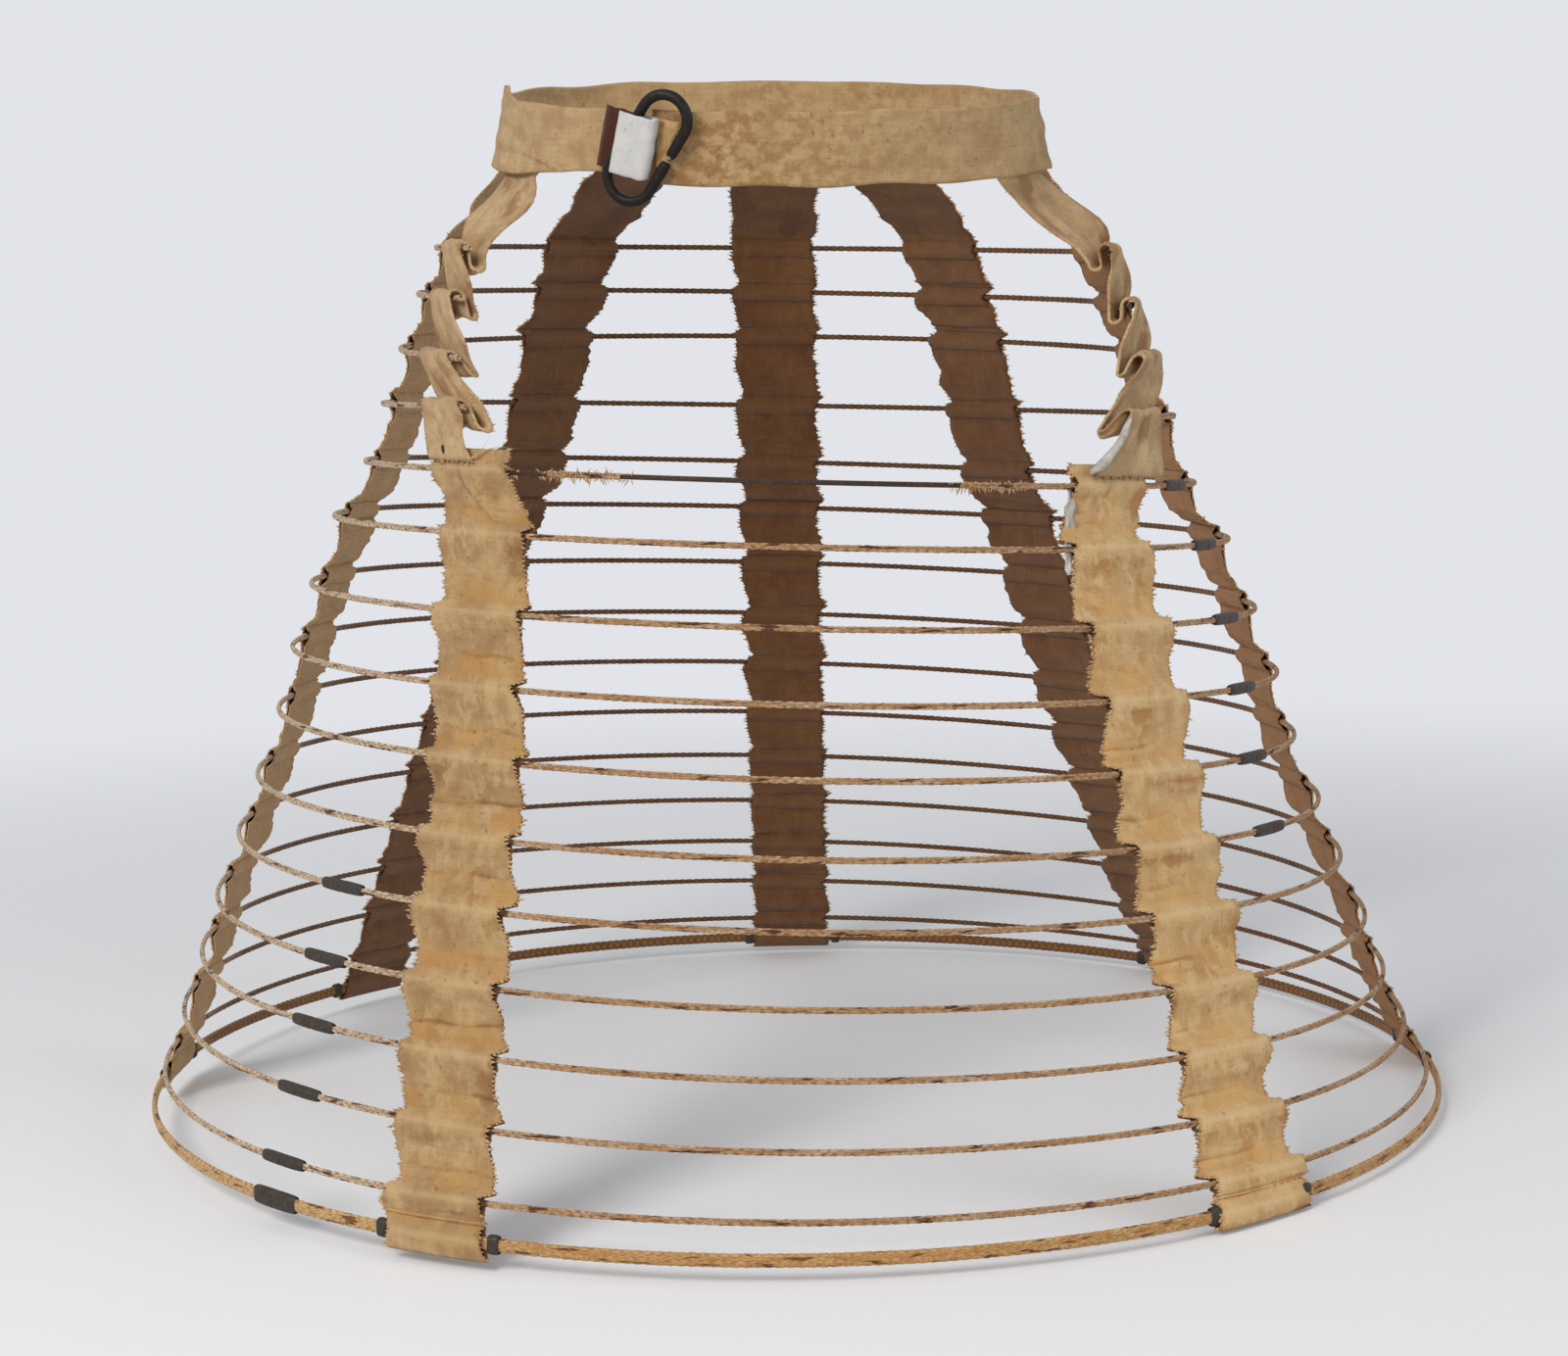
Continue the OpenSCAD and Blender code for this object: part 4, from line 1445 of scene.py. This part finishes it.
    def loose_threads(self, shop: Workshop, start: Array) -> bpy.types.Object:
        """Long threads that hang off the end of the last leaf.

        Args:
            shop: The shared finishes and trees.
            start: Where they begin.

        Returns:
            The threads.
        """
        shell = Shell()
        share = np.linspace(0, 1, 16)[:, None]
        turn = np.linspace(0, math.tau, 6, endpoint=False)
        for reach, bow in (((19.0, 1.0, 3.5), 2.5), ((9.0, 0.5, 9.0), -2.0)):
            core = start + share * np.array(reach) + np.sin(share * math.pi) * np.array((0, -2.0, bow))
            ring = np.stack([0 * turn, np.cos(turn), np.sin(turn)], -1) * 0.32
            shell.tube(core[:, None, :] + ring * (1.1 - share)[:, None, :])
        return shell.build(self.name + "_threads", shop.finish.thread)

    def edge_roll(self, shop: Workshop, leaf: Array) -> bpy.types.Object:
        """The pale lining rolled outward along the inner edge of the last leaf.

        Args:
            shop: The shared finishes and trees.
            leaf: Points of the last leaf by rows and columns.

        Returns:
            The rolled edge.
        """
        share = np.linspace(0, 1, len(leaf))[:, None]
        r = lerp(0.9, 3.3, share ** 0.7) * np.minimum(1, np.sqrt(np.minimum(share, 1 - share) * 9 + 0.02))
        aside = unit(leaf[:, 0] - leaf[:, 1])[:, None, :]
        out = unit(np.cross(aside[:, 0], unit(np.gradient(leaf[:, 0], axis=0))))[:, None, :]
        out = out * np.sign((out[..., :2] * leaf[:, None, 0, :2]).sum(-1))[..., None]
        turn = np.linspace(0, math.tau, 14, endpoint=False)
        r = r * (1 + 0.12 * ripples(self.seed + 6, 3, 4 * share, np.cos(turn), np.sin(turn)))
        core = leaf[:, None, 0] + out * 0.9 + aside * (2.6 * share ** 2)[..., None]
        rings = core + (r * np.cos(turn))[..., None] * aside + (r * np.sin(turn))[..., None] * out
        shell = Shell()
        cloth = np.stack(np.broadcast_arrays(turn * 2.5, share * 30), -1)
        shell.tube(rings, cloth)
        return shell.build(self.name + "_rolled_edge", shop.finish.lining)

    def lining_strip(self, shop: Workshop) -> bpy.types.Object:
        """The torn strip of pale lining that hangs past the inner edge of the tape below.

        Args:
            shop: The shared finishes and trees.

        Returns:
            The strip.
        """
        down, across = np.linspace(0, 1, 18)[:, None], np.linspace(-1, 0.4, 5)
        ends = ((CAGE.half_n, 38.9), (CAGE.half_n + 1, 34.4))
        stops = np.array([(az, *CAGE.hoop_point(k, az)) for k, az in ends])
        stops = np.vstack([stops, stops[1] + (-0.4, 1.5, -9.0)])
        az, r, z = (np.interp(down, (0, 0.75, 1), stops[:, i]) for i in range(3))
        wide = 3.1 * np.sin(np.pi * lerp(0.12, 0.97, down)) ** 0.5 + 0.5 * ripples(self.seed + 8, 0.2, down)
        az = np.radians(az) + across * wide / r
        r = r - 0.6 + 0.7 * ripples(self.seed + 9, 0.3, down, across * 0.2)
        shell = Shell()
        cloth = np.stack(np.broadcast_arrays(across * wide, down * 40), -1)
        shell.ply(round_axis(r, az, z + 0 * across), 0.25, cloth)
        return shell.build(self.name + "_lining_strip", shop.finish.lining)

    def hole(self, shop: Workshop, leaf: Array) -> bpy.types.Object:
        """A dark patch of painted shade for the worn hole near the end of the last leaf.

        Args:
            shop: The shared finishes and trees.
            leaf: Points of the leaf's last rows.

        Returns:
            The hole's patch of painted shade.
        """
        middle = leaf[2, self.columns // 2 - 1]
        across = unit(leaf[2, self.columns // 2 + 1] - middle)
        down = unit(leaf[4, self.columns // 2 - 1] - middle)
        out = unit(np.cross(down, across))
        out = out * np.sign(out[:2] @ middle[:2])
        turn = np.linspace(0, math.tau, 14, endpoint=False)[:, None]
        rim = across * np.cos(turn) * 1.5 + down * np.sin(turn) * 2.5
        steps = ((1, 0.2), (0.9, 0.62), (0.3, 0.66))
        rings = np.array([middle + rim * size + out * lift for size, lift in steps])
        shell = Shell()
        # A small black dome on the cloth stands for the shade inside the hole.
        shell.tube(rings)
        return shell.build(self.name + "_hole", shop.finish.japan)


@dataclass
class Waistband:
    """The twill band round the waist, its ends under the buckle."""

    seed: int = 41
    left_end: float = 15
    right_end: float = 1
    rows: int = 240
    columns: int = 25
    narrow_from: float = 5.2
    narrow_by: float = 4.0
    peak_at: float = 4.93
    peak_h: float = 5.5
    crease_at: float = 5.05
    flare: float = 3.0
    seam_at: float = 5.36

    def build(self, shop: Workshop) -> tuple[bpy.types.Object, float]:
        """Makes the band.

        Args:
            shop: The shared finishes and trees.

        Returns:
            The finished piece and the band's length in mm.
        """
        begin = math.asin(2 * (-CAGE.buckle_off + self.right_end) / CAGE.waist_w)
        end = math.tau + math.asin(2 * (-CAGE.buckle_off - self.left_end) / CAGE.waist_w)
        turn = np.linspace(begin, end, self.rows)[:, None]
        share = np.linspace(-1, 1, self.columns)
        a, b = (CAGE.waist_w - CAGE.band_t) / 2, (CAGE.waist_d - CAGE.band_t) / 2
        core = np.stack([a * np.sin(turn[:, 0]), -b * np.cos(turn[:, 0])], -1)
        along = lengths(core)[:, None]
        high = share * (CAGE.band_h / 2 - 0.5) + 0.35 * ripples(self.seed, 60, along) * np.abs(share)
        narrow = np.clip((turn - self.narrow_from) / 0.35, 0, 1) * self.narrow_by
        peak = self.peak_h * bump_at(turn, self.peak_at, 0.1)
        high = high + narrow * (1 - share) / 2 + peak * np.clip(share, 0, 1) ** 2
        sway = 0.3 * ripples(self.seed + 1, 45, along, high) + 0.12 * ripples(self.seed + 2, 14, along, high)
        wrinkles = 0.32 * ripples(self.seed + 5, 9, along * 0.07, high)
        sway = sway + wrinkles * (0.4 + 0.6 * np.abs(np.sin(turn)))
        creases = bump_at(turn, self.crease_at, 0.09) * np.sin(high * 0.7 + 3 * turn) * 0.8
        cone = -self.flare * share * np.abs(np.sin(turn)) ** 3
        seam = np.exp(-((high + 5.7 + (turn - 5.226) * 21) / 0.9) ** 2) * bump_at(turn, self.seam_at, 0.11)
        sway = (sway + creases + cone - 0.6 * seam) * np.minimum(1, np.minimum(along, along[-1] - along) / 25)
        point = np.stack([(a + sway) * np.sin(turn), -(b + sway) * np.cos(turn), high], -1)
        middle = placed(CAGE.waist_frame(), point)
        cloth = np.stack(np.broadcast_arrays(high, along), -1)
        stain = np.clip(ripples(self.seed + 3, 52, along, high) - 0.35, 0, 0.6) * 0.6
        # The dented seam line is darkened too: painted shade in its crease.
        stain = np.maximum(np.maximum(stain, bump_at(along, 0, 75) * 0.8), seam)
        shell = Shell()
        shell.ply(middle, CAGE.band_t * 0.42, cloth, stain=stain)
        piece = shell.build("waistband_cloth", shop.finish.band)
        ends = [(middle[0], unit(middle[0] - middle[1])), (middle[-1], unit(middle[-1] - middle[-2]))]
        fringe = shop.frayed("waistband_fringe", ends, 0.9, 2.4, self.seed, 0.6)
        return joined(piece, fringe), float(along[-1, 0])


@dataclass
class WaistTab:
    """The white cloth folded round the buckle's left side."""

    seed: int = 61
    high: float = 24
    thick: float = 0.9
    lean: float = 12
    front: float = 12
    back: float = 20
    fold_x: float = 2.6
    ring_lift: float = 1.5
    stock: float = CAGE.buckle_stock
    seam: float = 0.3
    columns: int = 25
    strip_w: tuple[float, float] = (9.5, 3.0)
    strip_y: tuple[float, float] = (11.3, -7.0)

    def build(self, shop: Workshop) -> tuple[bpy.types.Object, float]:
        """Makes the tab.

        Args:
            shop: The shared finishes and trees.

        Returns:
            The finished piece and its cut length in mm.
        """
        rise = (self.ring_lift + self.stock + self.thick) / 2
        low = self.seam + self.thick / 2
        centre = np.array([self.fold_x - rise, low + rise])
        turns = np.radians(np.linspace(-90, 90, 17))
        fold = centre + rise * np.stack([np.cos(turns), np.sin(turns)], -1)
        steps = np.linspace(0, 1, 12)[:, None]
        line = np.concatenate([lerp(np.array([-self.back, low]), fold[0], steps)[:-1], fold,
                               lerp(fold[-1], np.array([-self.front, low + 2 * rise]), steps)[1:]])
        along = lengths(line)[:, None]
        share = np.linspace(-1, 1, self.columns)
        high = share * (self.high / 2 - 0.3) + 0.3 * ripples(self.seed, 9, along)
        way = unit(np.gradient(line, axis=0))
        hem = 0.22 * bump_at(along, float(along[-1, 0]) - 5, 2.5)
        sway = 0.16 * ripples(self.seed + 1, 9, along, high) + hem
        out = np.stack([way[:, 1], -way[:, 0]], -1)[:, None, :] * sway[..., None]
        flat = line[:, None, :] + out
        local = np.stack([flat[..., 0], flat[..., 1], np.broadcast_to(high, flat.shape[:2])], -1)
        turn = Euler((math.pi / 2, 0, -math.radians(self.lean))).to_matrix().to_4x4()
        middle = placed(CAGE.buckle_frame() @ turn, local)
        cloth = np.stack(np.broadcast_arrays(high, along), -1)
        shell = Shell()
        # Painted shadow: the first part of the back ply takes the tab's dark red-brown inner colour.
        shell.ply(middle, self.thick * 0.45, cloth, inside=np.clip((self.back - 4 - along) / 2, 0, 1))
        piece = shell.build("waist_tab_cloth", shop.finish.tab)
        return joined(piece, *self.worn_strip(shop)), float(along[-1, 0])

    def worn_strip(self, shop: Workshop) -> tuple[bpy.types.Object, bpy.types.Object]:
        """The frayed tan cloth that shows beside the tab.

        Args:
            shop: The shared finishes and trees.

        Returns:
            The strip and its fringe.
        """
        down, across = np.linspace(0, 1, 16)[:, None], np.linspace(0, 1, 9)
        wide = lerp(*self.strip_w, down) + 0.7 * ripples(self.seed + 4, 0.5, down)
        x = self.fold_x + across * wide
        y = lerp(*self.strip_y, down) - 1.5 * across
        z = 0.75 + 0.3 * ripples(self.seed + 5, 6, x, y)
        middle = placed(CAGE.buckle_frame(), np.stack(np.broadcast_arrays(x, y, z), -1))
        shell = Shell()
        stain = np.clip(ripples(self.seed + 6, 5, x, y), 0, 1)
        shell.ply(middle, 0.25, np.stack(np.broadcast_arrays(x, y), -1), stain=stain)
        edge = [(middle[:, -1], unit(middle[:, -1] - middle[:, -2]))]
        return (shell.build("waist_tab_strip", shop.finish.right_tape),
                shop.frayed("waist_tab_fringe", edge, 0.8, 2.2, self.seed, 0.8, 0.3))


@dataclass
class BuckleRing:
    """The oval ring of round stock, broken through on its right side."""

    long: float = 49
    wide: float = 23.5
    stock: float = CAGE.buckle_stock
    gap: float = 3
    cut_share: float = 0.05
    lean: float = 33
    lift: float = 1.5
    seed: int = 71

    def build(self, shop: Workshop) -> bpy.types.Object:
        """Makes the ring with its rough broken ends.

        Args:
            shop: The shared finishes and trees.

        Returns:
            The finished piece.
        """
        side, straight = (self.wide - self.stock) / 2, self.long - self.wide
        cut = straight * self.cut_share
        turns = np.radians(np.linspace(0, 180, 34))[1:-1]
        top = [(side * math.cos(t), straight / 2 + side * math.sin(t)) for t in turns]
        runs = [[(side, y) for y in np.linspace(cut + self.gap / 2, straight / 2, 9)], top,
                [(-side, y) for y in np.linspace(straight / 2, -straight / 2, 20)],
                [(-x, -y) for x, y in top],
                [(side, y) for y in np.linspace(-straight / 2, cut - self.gap / 2, 14)]]
        path = np.array([p for run in runs for p in run])
        along = lengths(path)
        way = unit(np.gradient(path, axis=0))
        normal = np.stack([way[:, 1], -way[:, 0]], -1)
        girth = np.linspace(0, math.tau, 16, endpoint=False)
        end = np.minimum(along, along[-1] - along)
        r = self.stock / 2 * (0.97 - 0.16 * np.exp(-end / 0.5))[:, None]
        r = r * (1 + 0.018 * ripples(self.seed, 6, along[:, None], 4 * np.cos(girth), 4 * np.sin(girth)))
        rough = ripples(self.seed + 1, 2, 2 * np.cos(girth), 2 * np.sin(girth))
        jag = np.exp(-end / 0.6)[:, None] * 0.5 * rough
        flat = path[:, None, :] + normal[:, None, :] * (r * np.cos(girth))[..., None]
        flat = flat + way[:, None, :] * jag[..., None]
        local = np.concatenate([flat, (r * np.sin(girth))[..., None]], -1)
        frame_of = (CAGE.buckle_frame() @ Matrix.Translation((0, 0, self.lift + self.stock / 2))
                    @ Matrix.Rotation(-math.radians(self.lean), 4, "Z"))
        shell = Shell()
        shell.tube(placed(frame_of, local))
        return shell.build("buckle_ring_metal", shop.finish.japan)


@dataclass
class Sleeves:
    """Metal sleeves closed round the hoops: ferrules and hem clips."""

    fit: float = 0.08
    wall: float = 0.7
    ferrule_l: float = 24
    clip_l: float = 4
    clip_gap: float = 1.5
    girth: int = 20
    right_n: int = 6
    right_az: float = 64
    right_step: float = -1.8
    left_az: float = -47
    left_step: float = 0.25

    def ferrule_az(self, k: int) -> float:
        """Azimuth of hoop k's ferrule."""
        i = k - CAGE.half_n
        return self.right_az + self.right_step * i if i < self.right_n else self.left_az + self.left_step * i

    def add(self, shell: Shell, k: int, az: float, length: float,
            crimps: tuple[float, ...], rows: int) -> None:
        """Adds one sleeve.

        Args:
            shell: The piece it belongs to.
            k: Its hoop.
            az: Azimuth of its middle, in degrees.
            length: Its length.
            crimps: Places of its dents, from its middle.
            rows: How many rings it has along its length.
        """
        high, thick = CAGE.section(k)
        place = np.linspace(-length / 2, length / 2, rows)[:, None]
        turn = np.linspace(0, math.tau, self.girth, endpoint=False)
        end = np.minimum(place + length / 2, length / 2 - place)
        taper = 0.34 if crimps else 0.1
        grow = self.fit + self.wall - 0.3 * np.exp(-end / 0.35) - taper * np.exp(-end / 2.6)
        dents = sum(bump_at(place, c, 0.5) for c in crimps) if crimps else 0 * place
        grow = grow - dents * (0.16 + 0.14 * np.maximum(0, np.cos(turn)) ** 4)
        inner = np.full_like(grow + 0 * turn, self.fit)

        def wall(margin: Array) -> Array:
            """A surface round the hoop, a margin off it.

            Args:
                margin: The margin, by rings and places round them.

            Returns:
                Its points in the hoop's plane.
            """
            half_t = thick / 2 + margin
            x = CAGE.radius(k) + half_t * np.cos(turn)
            rise = np.sin(turn)
            z = np.sign(rise) * (high - thick) / 2 * np.minimum(1, np.abs(rise) * 3) + half_t * rise
            return round_axis(x, math.radians(az) + (place + 0 * turn) / CAGE.radius(k), z)

        rings = np.concatenate([wall(grow + 0 * turn), wall(inner)[::-1]])
        shell.tube(placed(CAGE.hoop_frame(k), rings), closed=True)

    def build(self, shop: Workshop, tapes: list[HangingTape]) -> tuple[bpy.types.Object, bpy.types.Object]:
        """Makes the ferrules and the hem clips.

        Args:
            shop: The shared finishes and trees.
            tapes: The tapes whose hem edges carry clips.

        Returns:
            The ferrules and the clips.
        """
        ferrules, clips = Shell(), Shell()
        for k in range(CAGE.half_n, CAGE.last + 1):
            self.add(ferrules, k, self.ferrule_az(k), self.ferrule_l, (0.0,), 44)
        reach = CAGE.tape_w / 2 + self.clip_gap + self.clip_l / 2
        for tape in tapes:
            for side in (-1, 1):
                off = math.degrees(reach / CAGE.radius(CAGE.last))
                self.add(clips, CAGE.last, tape.azimuth(CAGE.last) + side * off, self.clip_l, (), 12)
        return (ferrules.build("ferrules_metal", shop.finish.ferrule),
                clips.build("hem_clips_metal", shop.finish.ferrule))


@dataclass
class HoopCovers:
    """The braided covers of all hoops, the first full one worn away in front."""

    straps: list[FrontStrap]
    sleeves: Sleeves
    fronts: list[HangingTape]
    row_step: float = 1.3
    slim: float = 0.8
    hem_slim: float = 0.9
    thin: float = 0.9
    relief: float = 0.28
    worn: tuple[float, ...] = (-35.5, -29.5, -19.5, 22)

    def runs(self, k: int) -> list[tuple[float, float]]:
        """Each covered run of hoop k, as an azimuth and a span in degrees.

        Args:
            k: The hoop, counted from the highest half hoop.

        Returns:
            The runs.
        """
        if k < CAGE.half_n:
            left, right = (strap.hoop_end(k) for strap in self.straps)
            return [(right, 360 + left - right)]
        gap = math.degrees(CAGE.butt_gap / CAGE.radius(k))
        begin = self.sleeves.ferrule_az(k) + gap / 2
        if k == CAGE.half_n:
            left, low, high, right = self.worn
            return [(begin, 360 + left - begin), (low, high - low), (right, begin - gap - right)]
        return [(begin, 360 - gap)]

    def build(self, shop: Workshop, k: int) -> bpy.types.Object:
        """Makes the cover of hoop k.

        Args:
            shop: The shared finishes and trees.
            k: The hoop, counted from the highest half hoop.

        Returns:
            The finished piece.
        """
        name = CAGE.name(k) + "_braid"
        high, thick = CAGE.section(k)
        slim, cotton = self.slim, shop.finish.braid
        if k == CAGE.last:
            slim, cotton = self.hem_slim, shop.finish.hem_braid
        parts = []
        for begin, span in self.runs(k):
            steps = int(math.radians(span) * CAGE.radius(k) / self.row_step)
            left, right = (self.mouth(tape, k, begin) for tape in self.fronts)
            parts.append(shop.braid.bake(
                name, bpy.data.meshes.new(name), Radius=CAGE.radius(k) * MM, Start=math.radians(begin - 90),
                Sweep=math.radians(span), Steps=steps,
                Height=high * slim * MM, Thickness=thick * self.thin * MM,
                Drop=CAGE.height(k) * MM, Dip=CAGE.dip(k), Tilt=CAGE.tilt(k),
                Pitch=BRAID_PITCH, Relief=self.relief * MM,
                Left_Mouth=left, Right_Mouth=right, Material=cotton))
        if k == CAGE.half_n:
            parts.append(self.worn_ends(shop, k))
        return joined(*parts) if len(parts) > 1 else parts[0]

    def mouth(self, tape: HangingTape, k: int, begin: float) -> float:
        """How far along a run from its beginning hoop k leaves a front tape, in mm.

        Args:
            tape: The front tape.
            k: The hoop, counted from the highest half hoop.
            begin: Azimuth where the run begins, in degrees.

        Returns:
            The length, or a place off the run.
        """
        reach = CAGE.tape_w / 2 - abs(tape.step) - 1
        if k < tape.first:
            return -100.0
        az = tape.azimuth(k) - math.copysign(math.degrees(reach / CAGE.radius(k)), tape.step)
        return math.radians((az - begin) % 360) * CAGE.radius(k)

    def worn_ends(self, shop: Workshop, k: int) -> bpy.types.Object:
        """Frayed threads where the cover of hoop k has worn away.

        Args:
            shop: The shared finishes and trees.
            k: The hoop, counted from the highest half hoop.

        Returns:
            The threads.
        """
        lines = []
        left, low, high, right = self.worn
        for begin, end in ((left - 2, left + 1.5), (low - 1, high + 1.5), (right - 1.5, right + 9)):
            az = np.radians(np.linspace(begin, end, 24))
            for side in (-1.2, 0.6):
                ring = round_axis(np.full(len(az), CAGE.radius(k) + 0.9), az, np.full(len(az), side))
                lines.append((placed(CAGE.hoop_frame(k), ring), np.tile((0.0, -0.5, side), (len(az), 1))))
        return shop.frayed("worn_cover", lines, 1.3, 2.6, 91, 0.9, 0.4)


@dataclass
class Studio:
    """Camera, lights and floor."""

    focal_px: float = 2700
    eye: tuple[float, float, float] = (-0.73, -1101.2, -113.2)
    pitch: float = 5.834
    roll: float = -1.507
    pale: Colour = srgb(226, 228, 233)
    floor_r: float = 6
    floor_gap: float = 0.001

    def camera(self) -> None:
        """Sets the camera where the photograph was taken from."""
        p, r = math.radians(self.pitch), math.radians(self.roll)
        ahead, up, right = (Vector((0, math.cos(p), -math.sin(p))), Vector((0, math.sin(p), math.cos(p))),
                            Vector((1, 0, 0)))
        x, y = math.cos(r) * right + math.sin(r) * up, math.cos(r) * up - math.sin(r) * right
        data = bpy.data.cameras.new("camera")
        data.sensor_fit, data.sensor_width = "HORIZONTAL", 36
        data.lens = data.sensor_width * self.focal_px / PHOTO_W
        data.clip_start, data.clip_end = 0.01, 50
        made = shown("camera", data)
        turn = Matrix((x, y, -ahead)).transposed().to_4x4()
        made.matrix_world = Matrix.Translation(Vector(self.eye) * MM) @ turn
        bpy.context.scene.camera = made

    def lamp(self, name: str, place: Colour, size: float, power: float, tint: Colour) -> None:
        """Adds a soft lamp that faces the cage.

        Args:
            name: The lamp's name.
            place: Where it stands, in metres.
            size: Its width in metres.
            power: Its power in watts.
            tint: Its colour.
        """
        data = bpy.data.lights.new(name, "AREA")
        data.shape, data.size, data.energy, data.color = "DISK", size, power, tint
        made = shown(name, data)
        made.location = place
        made.rotation_euler = (Vector((0, 0, -0.2)) - Vector(place)).to_track_quat("-Z", "Y").to_euler()

    def world(self) -> None:
        """Lights the cage from all round, and shows a pale ground to the camera."""
        world = bpy.data.worlds.new("studio")
        world.use_nodes = True
        bpy.context.scene.world = world
        graph = Graph(world.node_tree)
        ground = graph.node("ShaderNodeBackground", {"Color": (*self.pale, 1)})
        light = world.node_tree.nodes["Background"]
        light.inputs["Color"].default_value = (0.95, 0.97, 1, 1)
        light.inputs["Strength"].default_value = 0.46
        rays = graph.node("ShaderNodeLightPath").outputs
        seen = graph.math("MAXIMUM", rays["Is Camera Ray"],
                          graph.math("MAXIMUM", rays["Is Glossy Ray"], rays["Is Transmission Ray"]))
        mix = graph.node("ShaderNodeMixShader", {0: seen, 1: light.outputs[0], 2: ground.outputs[0]})
        graph.put(world.node_tree.nodes["World Output"].inputs[0], mix.outputs[0])

    def floor(self, level: float) -> None:
        """Lays a pale floor that fades into the ground behind it.

        Args:
            level: The floor's height in metres.
        """
        mesh = bpy.data.meshes.new("floor")
        turns = np.linspace(0, math.tau, 64, endpoint=False)
        rim = [(self.floor_r * math.cos(t), self.floor_r * math.sin(t), level) for t in turns]
        mesh.from_pydata(rim, [], [list(range(len(rim)))])
        made = shown("floor", mesh)
        paint = Paint("pale_floor")
        paint.set(Base_Color=(0.9, 0.91, 0.93, 1), Roughness=0.9, Specular_IOR_Level=0.1)
        far = paint.node("ShaderNodeVectorMath", {0: paint.object_place}, operation="LENGTH")
        clear = paint.node("ShaderNodeBsdfTransparent")
        mix = paint.node("ShaderNodeMixShader", {
            0: paint.ramp(far.outputs["Value"], 0.5, 1.6), 1: paint.shader.outputs[0], 2: clear.outputs[0]})
        paint.put(paint.tree.nodes["Material Output"].inputs[0], mix.outputs[0])
        mesh.materials.append(paint.material)

    def build(self, level: float) -> None:
        """Sets up the whole studio.

        Args:
            level: Height of the lowest point of the cage, in metres.
        """
        bpy.context.scene.view_settings.view_transform = "Standard"
        self.camera()
        self.world()
        self.floor(level - self.floor_gap)
        self.lamp("key", (-1.1, -1.7, 1.1), 1.0, 33, (1, 0.97, 0.93))
        self.lamp("fill", (1.7, -1.2, 0.5), 1.4, 9, (0.97, 0.98, 1))


def tapes() -> list[HangingTape]:
    """The seven hanging tapes.

    Returns:
        The tapes, the two front ones first.
    """
    return [
        HangingTape("left_front_tape", ((0, -41.5), (0.09, -35.5), (0.4, -31.5), (1, -27.5)), 4, 0.45, 101,
                    -2.2, (0.75, 0.2), columns=31, fall_rows=20, wider=0.8, pleat=2.6),
        HangingTape("right_front_tape", ((0, 45), (0.09, 40), (0.4, 38.8), (1, 37)), 4, 0.45, 111,
                    3.1, (0.35, -0.9), columns=31, fall_rows=20, flare=1.5, wider=2.6),
        HangingTape("left_side_tape", ((0, -103), (1, -92)), 0, 0.75, 121, -2.2, (0.5, 0)),
        HangingTape("right_side_tape", ((0, 101), (1, 92)), 0, 0.75, 131, 2.6, (0.5, 0)),
        HangingTape("left_back_tape", ((0, -140), (1, -129)), 0, 0.75, 141, -1.8, (0.5, 0)),
        HangingTape("right_back_tape", ((0, 146), (1, 134)), 0, 0.75, 151, 2.0, (0.5, 0)),
        HangingTape("centre_back_tape", ((0, 180), (1, 180)), 0, 0.75, 161, 1.2, (0.5, 0)),
    ]


def main() -> None:
    """Builds every piece in order and hands it to the frame."""
    logging.basicConfig(level=logging.INFO, format="%(name)s: %(message)s")
    Studio().build(CAD_BOX[0].z)
    shop = Workshop()
    finish = shop.finish
    cloths = {"left_front_tape": finish.left_tape, "right_front_tape": finish.right_tape,
              "left_side_tape": finish.left_side, "right_side_tape": finish.side_tape}
    hung = tapes()
    for tape in hung:
        piece, length = tape.build(shop, cloths.get(tape.name, finish.back_tape))
        shop.hand_over(piece, "tape_cloth", tape.name)
        CAGE.name(tape.first) + "_braid"
    straps = [FrontStrap("left_front_strap", (-72, -62, -58.5, -54.5, -49, -44), 6, 171),
              FrontStrap("right_front_strap", (72, 79, 79, 72, 59, 50.5), 4, 181, rolled=True,
                         spread=(1.05, 0.95, 0.85, 0.85, 0.85, 1.4), aside=(1, 2, 1, 0, 0, -5),
                         turns=(11, 6, 5, 4, 0))]
    for strap in straps:
        piece, length = strap.build(shop)
        shop.hand_over(piece, "strap_cloth", strap.name)
        strap.flat_width() * MM
    band, length = Waistband().build(shop)
    shop.hand_over(band, "band_cloth", "waistband")
    tab, length = WaistTab().build(shop)
    shop.hand_over(tab, "tab_cloth", "waist_tab")
    shop.hand_over(BuckleRing().build(shop), "buckle_metal", "buckle_ring")
    sleeves = Sleeves()
    ferrules, clips = sleeves.build(shop, hung)
    shop.hand_over(ferrules, "ferrule_metal", "ferrules")
    shop.hand_over(clips, "ferrule_metal", "hem_clips")
    covers = HoopCovers(straps, sleeves, hung[:2])
    for k in range(CAGE.last + 1):
        shop.hand_over(covers.build(shop, k), "hoop_cover", CAGE.name(k) + "_cover")
        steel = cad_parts[CAGE.name(k) + "_steel"]
        steel.data.materials.clear()
        steel.data.materials.append(finish.steel)
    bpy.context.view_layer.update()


if __name__ == "__main__":
    main()
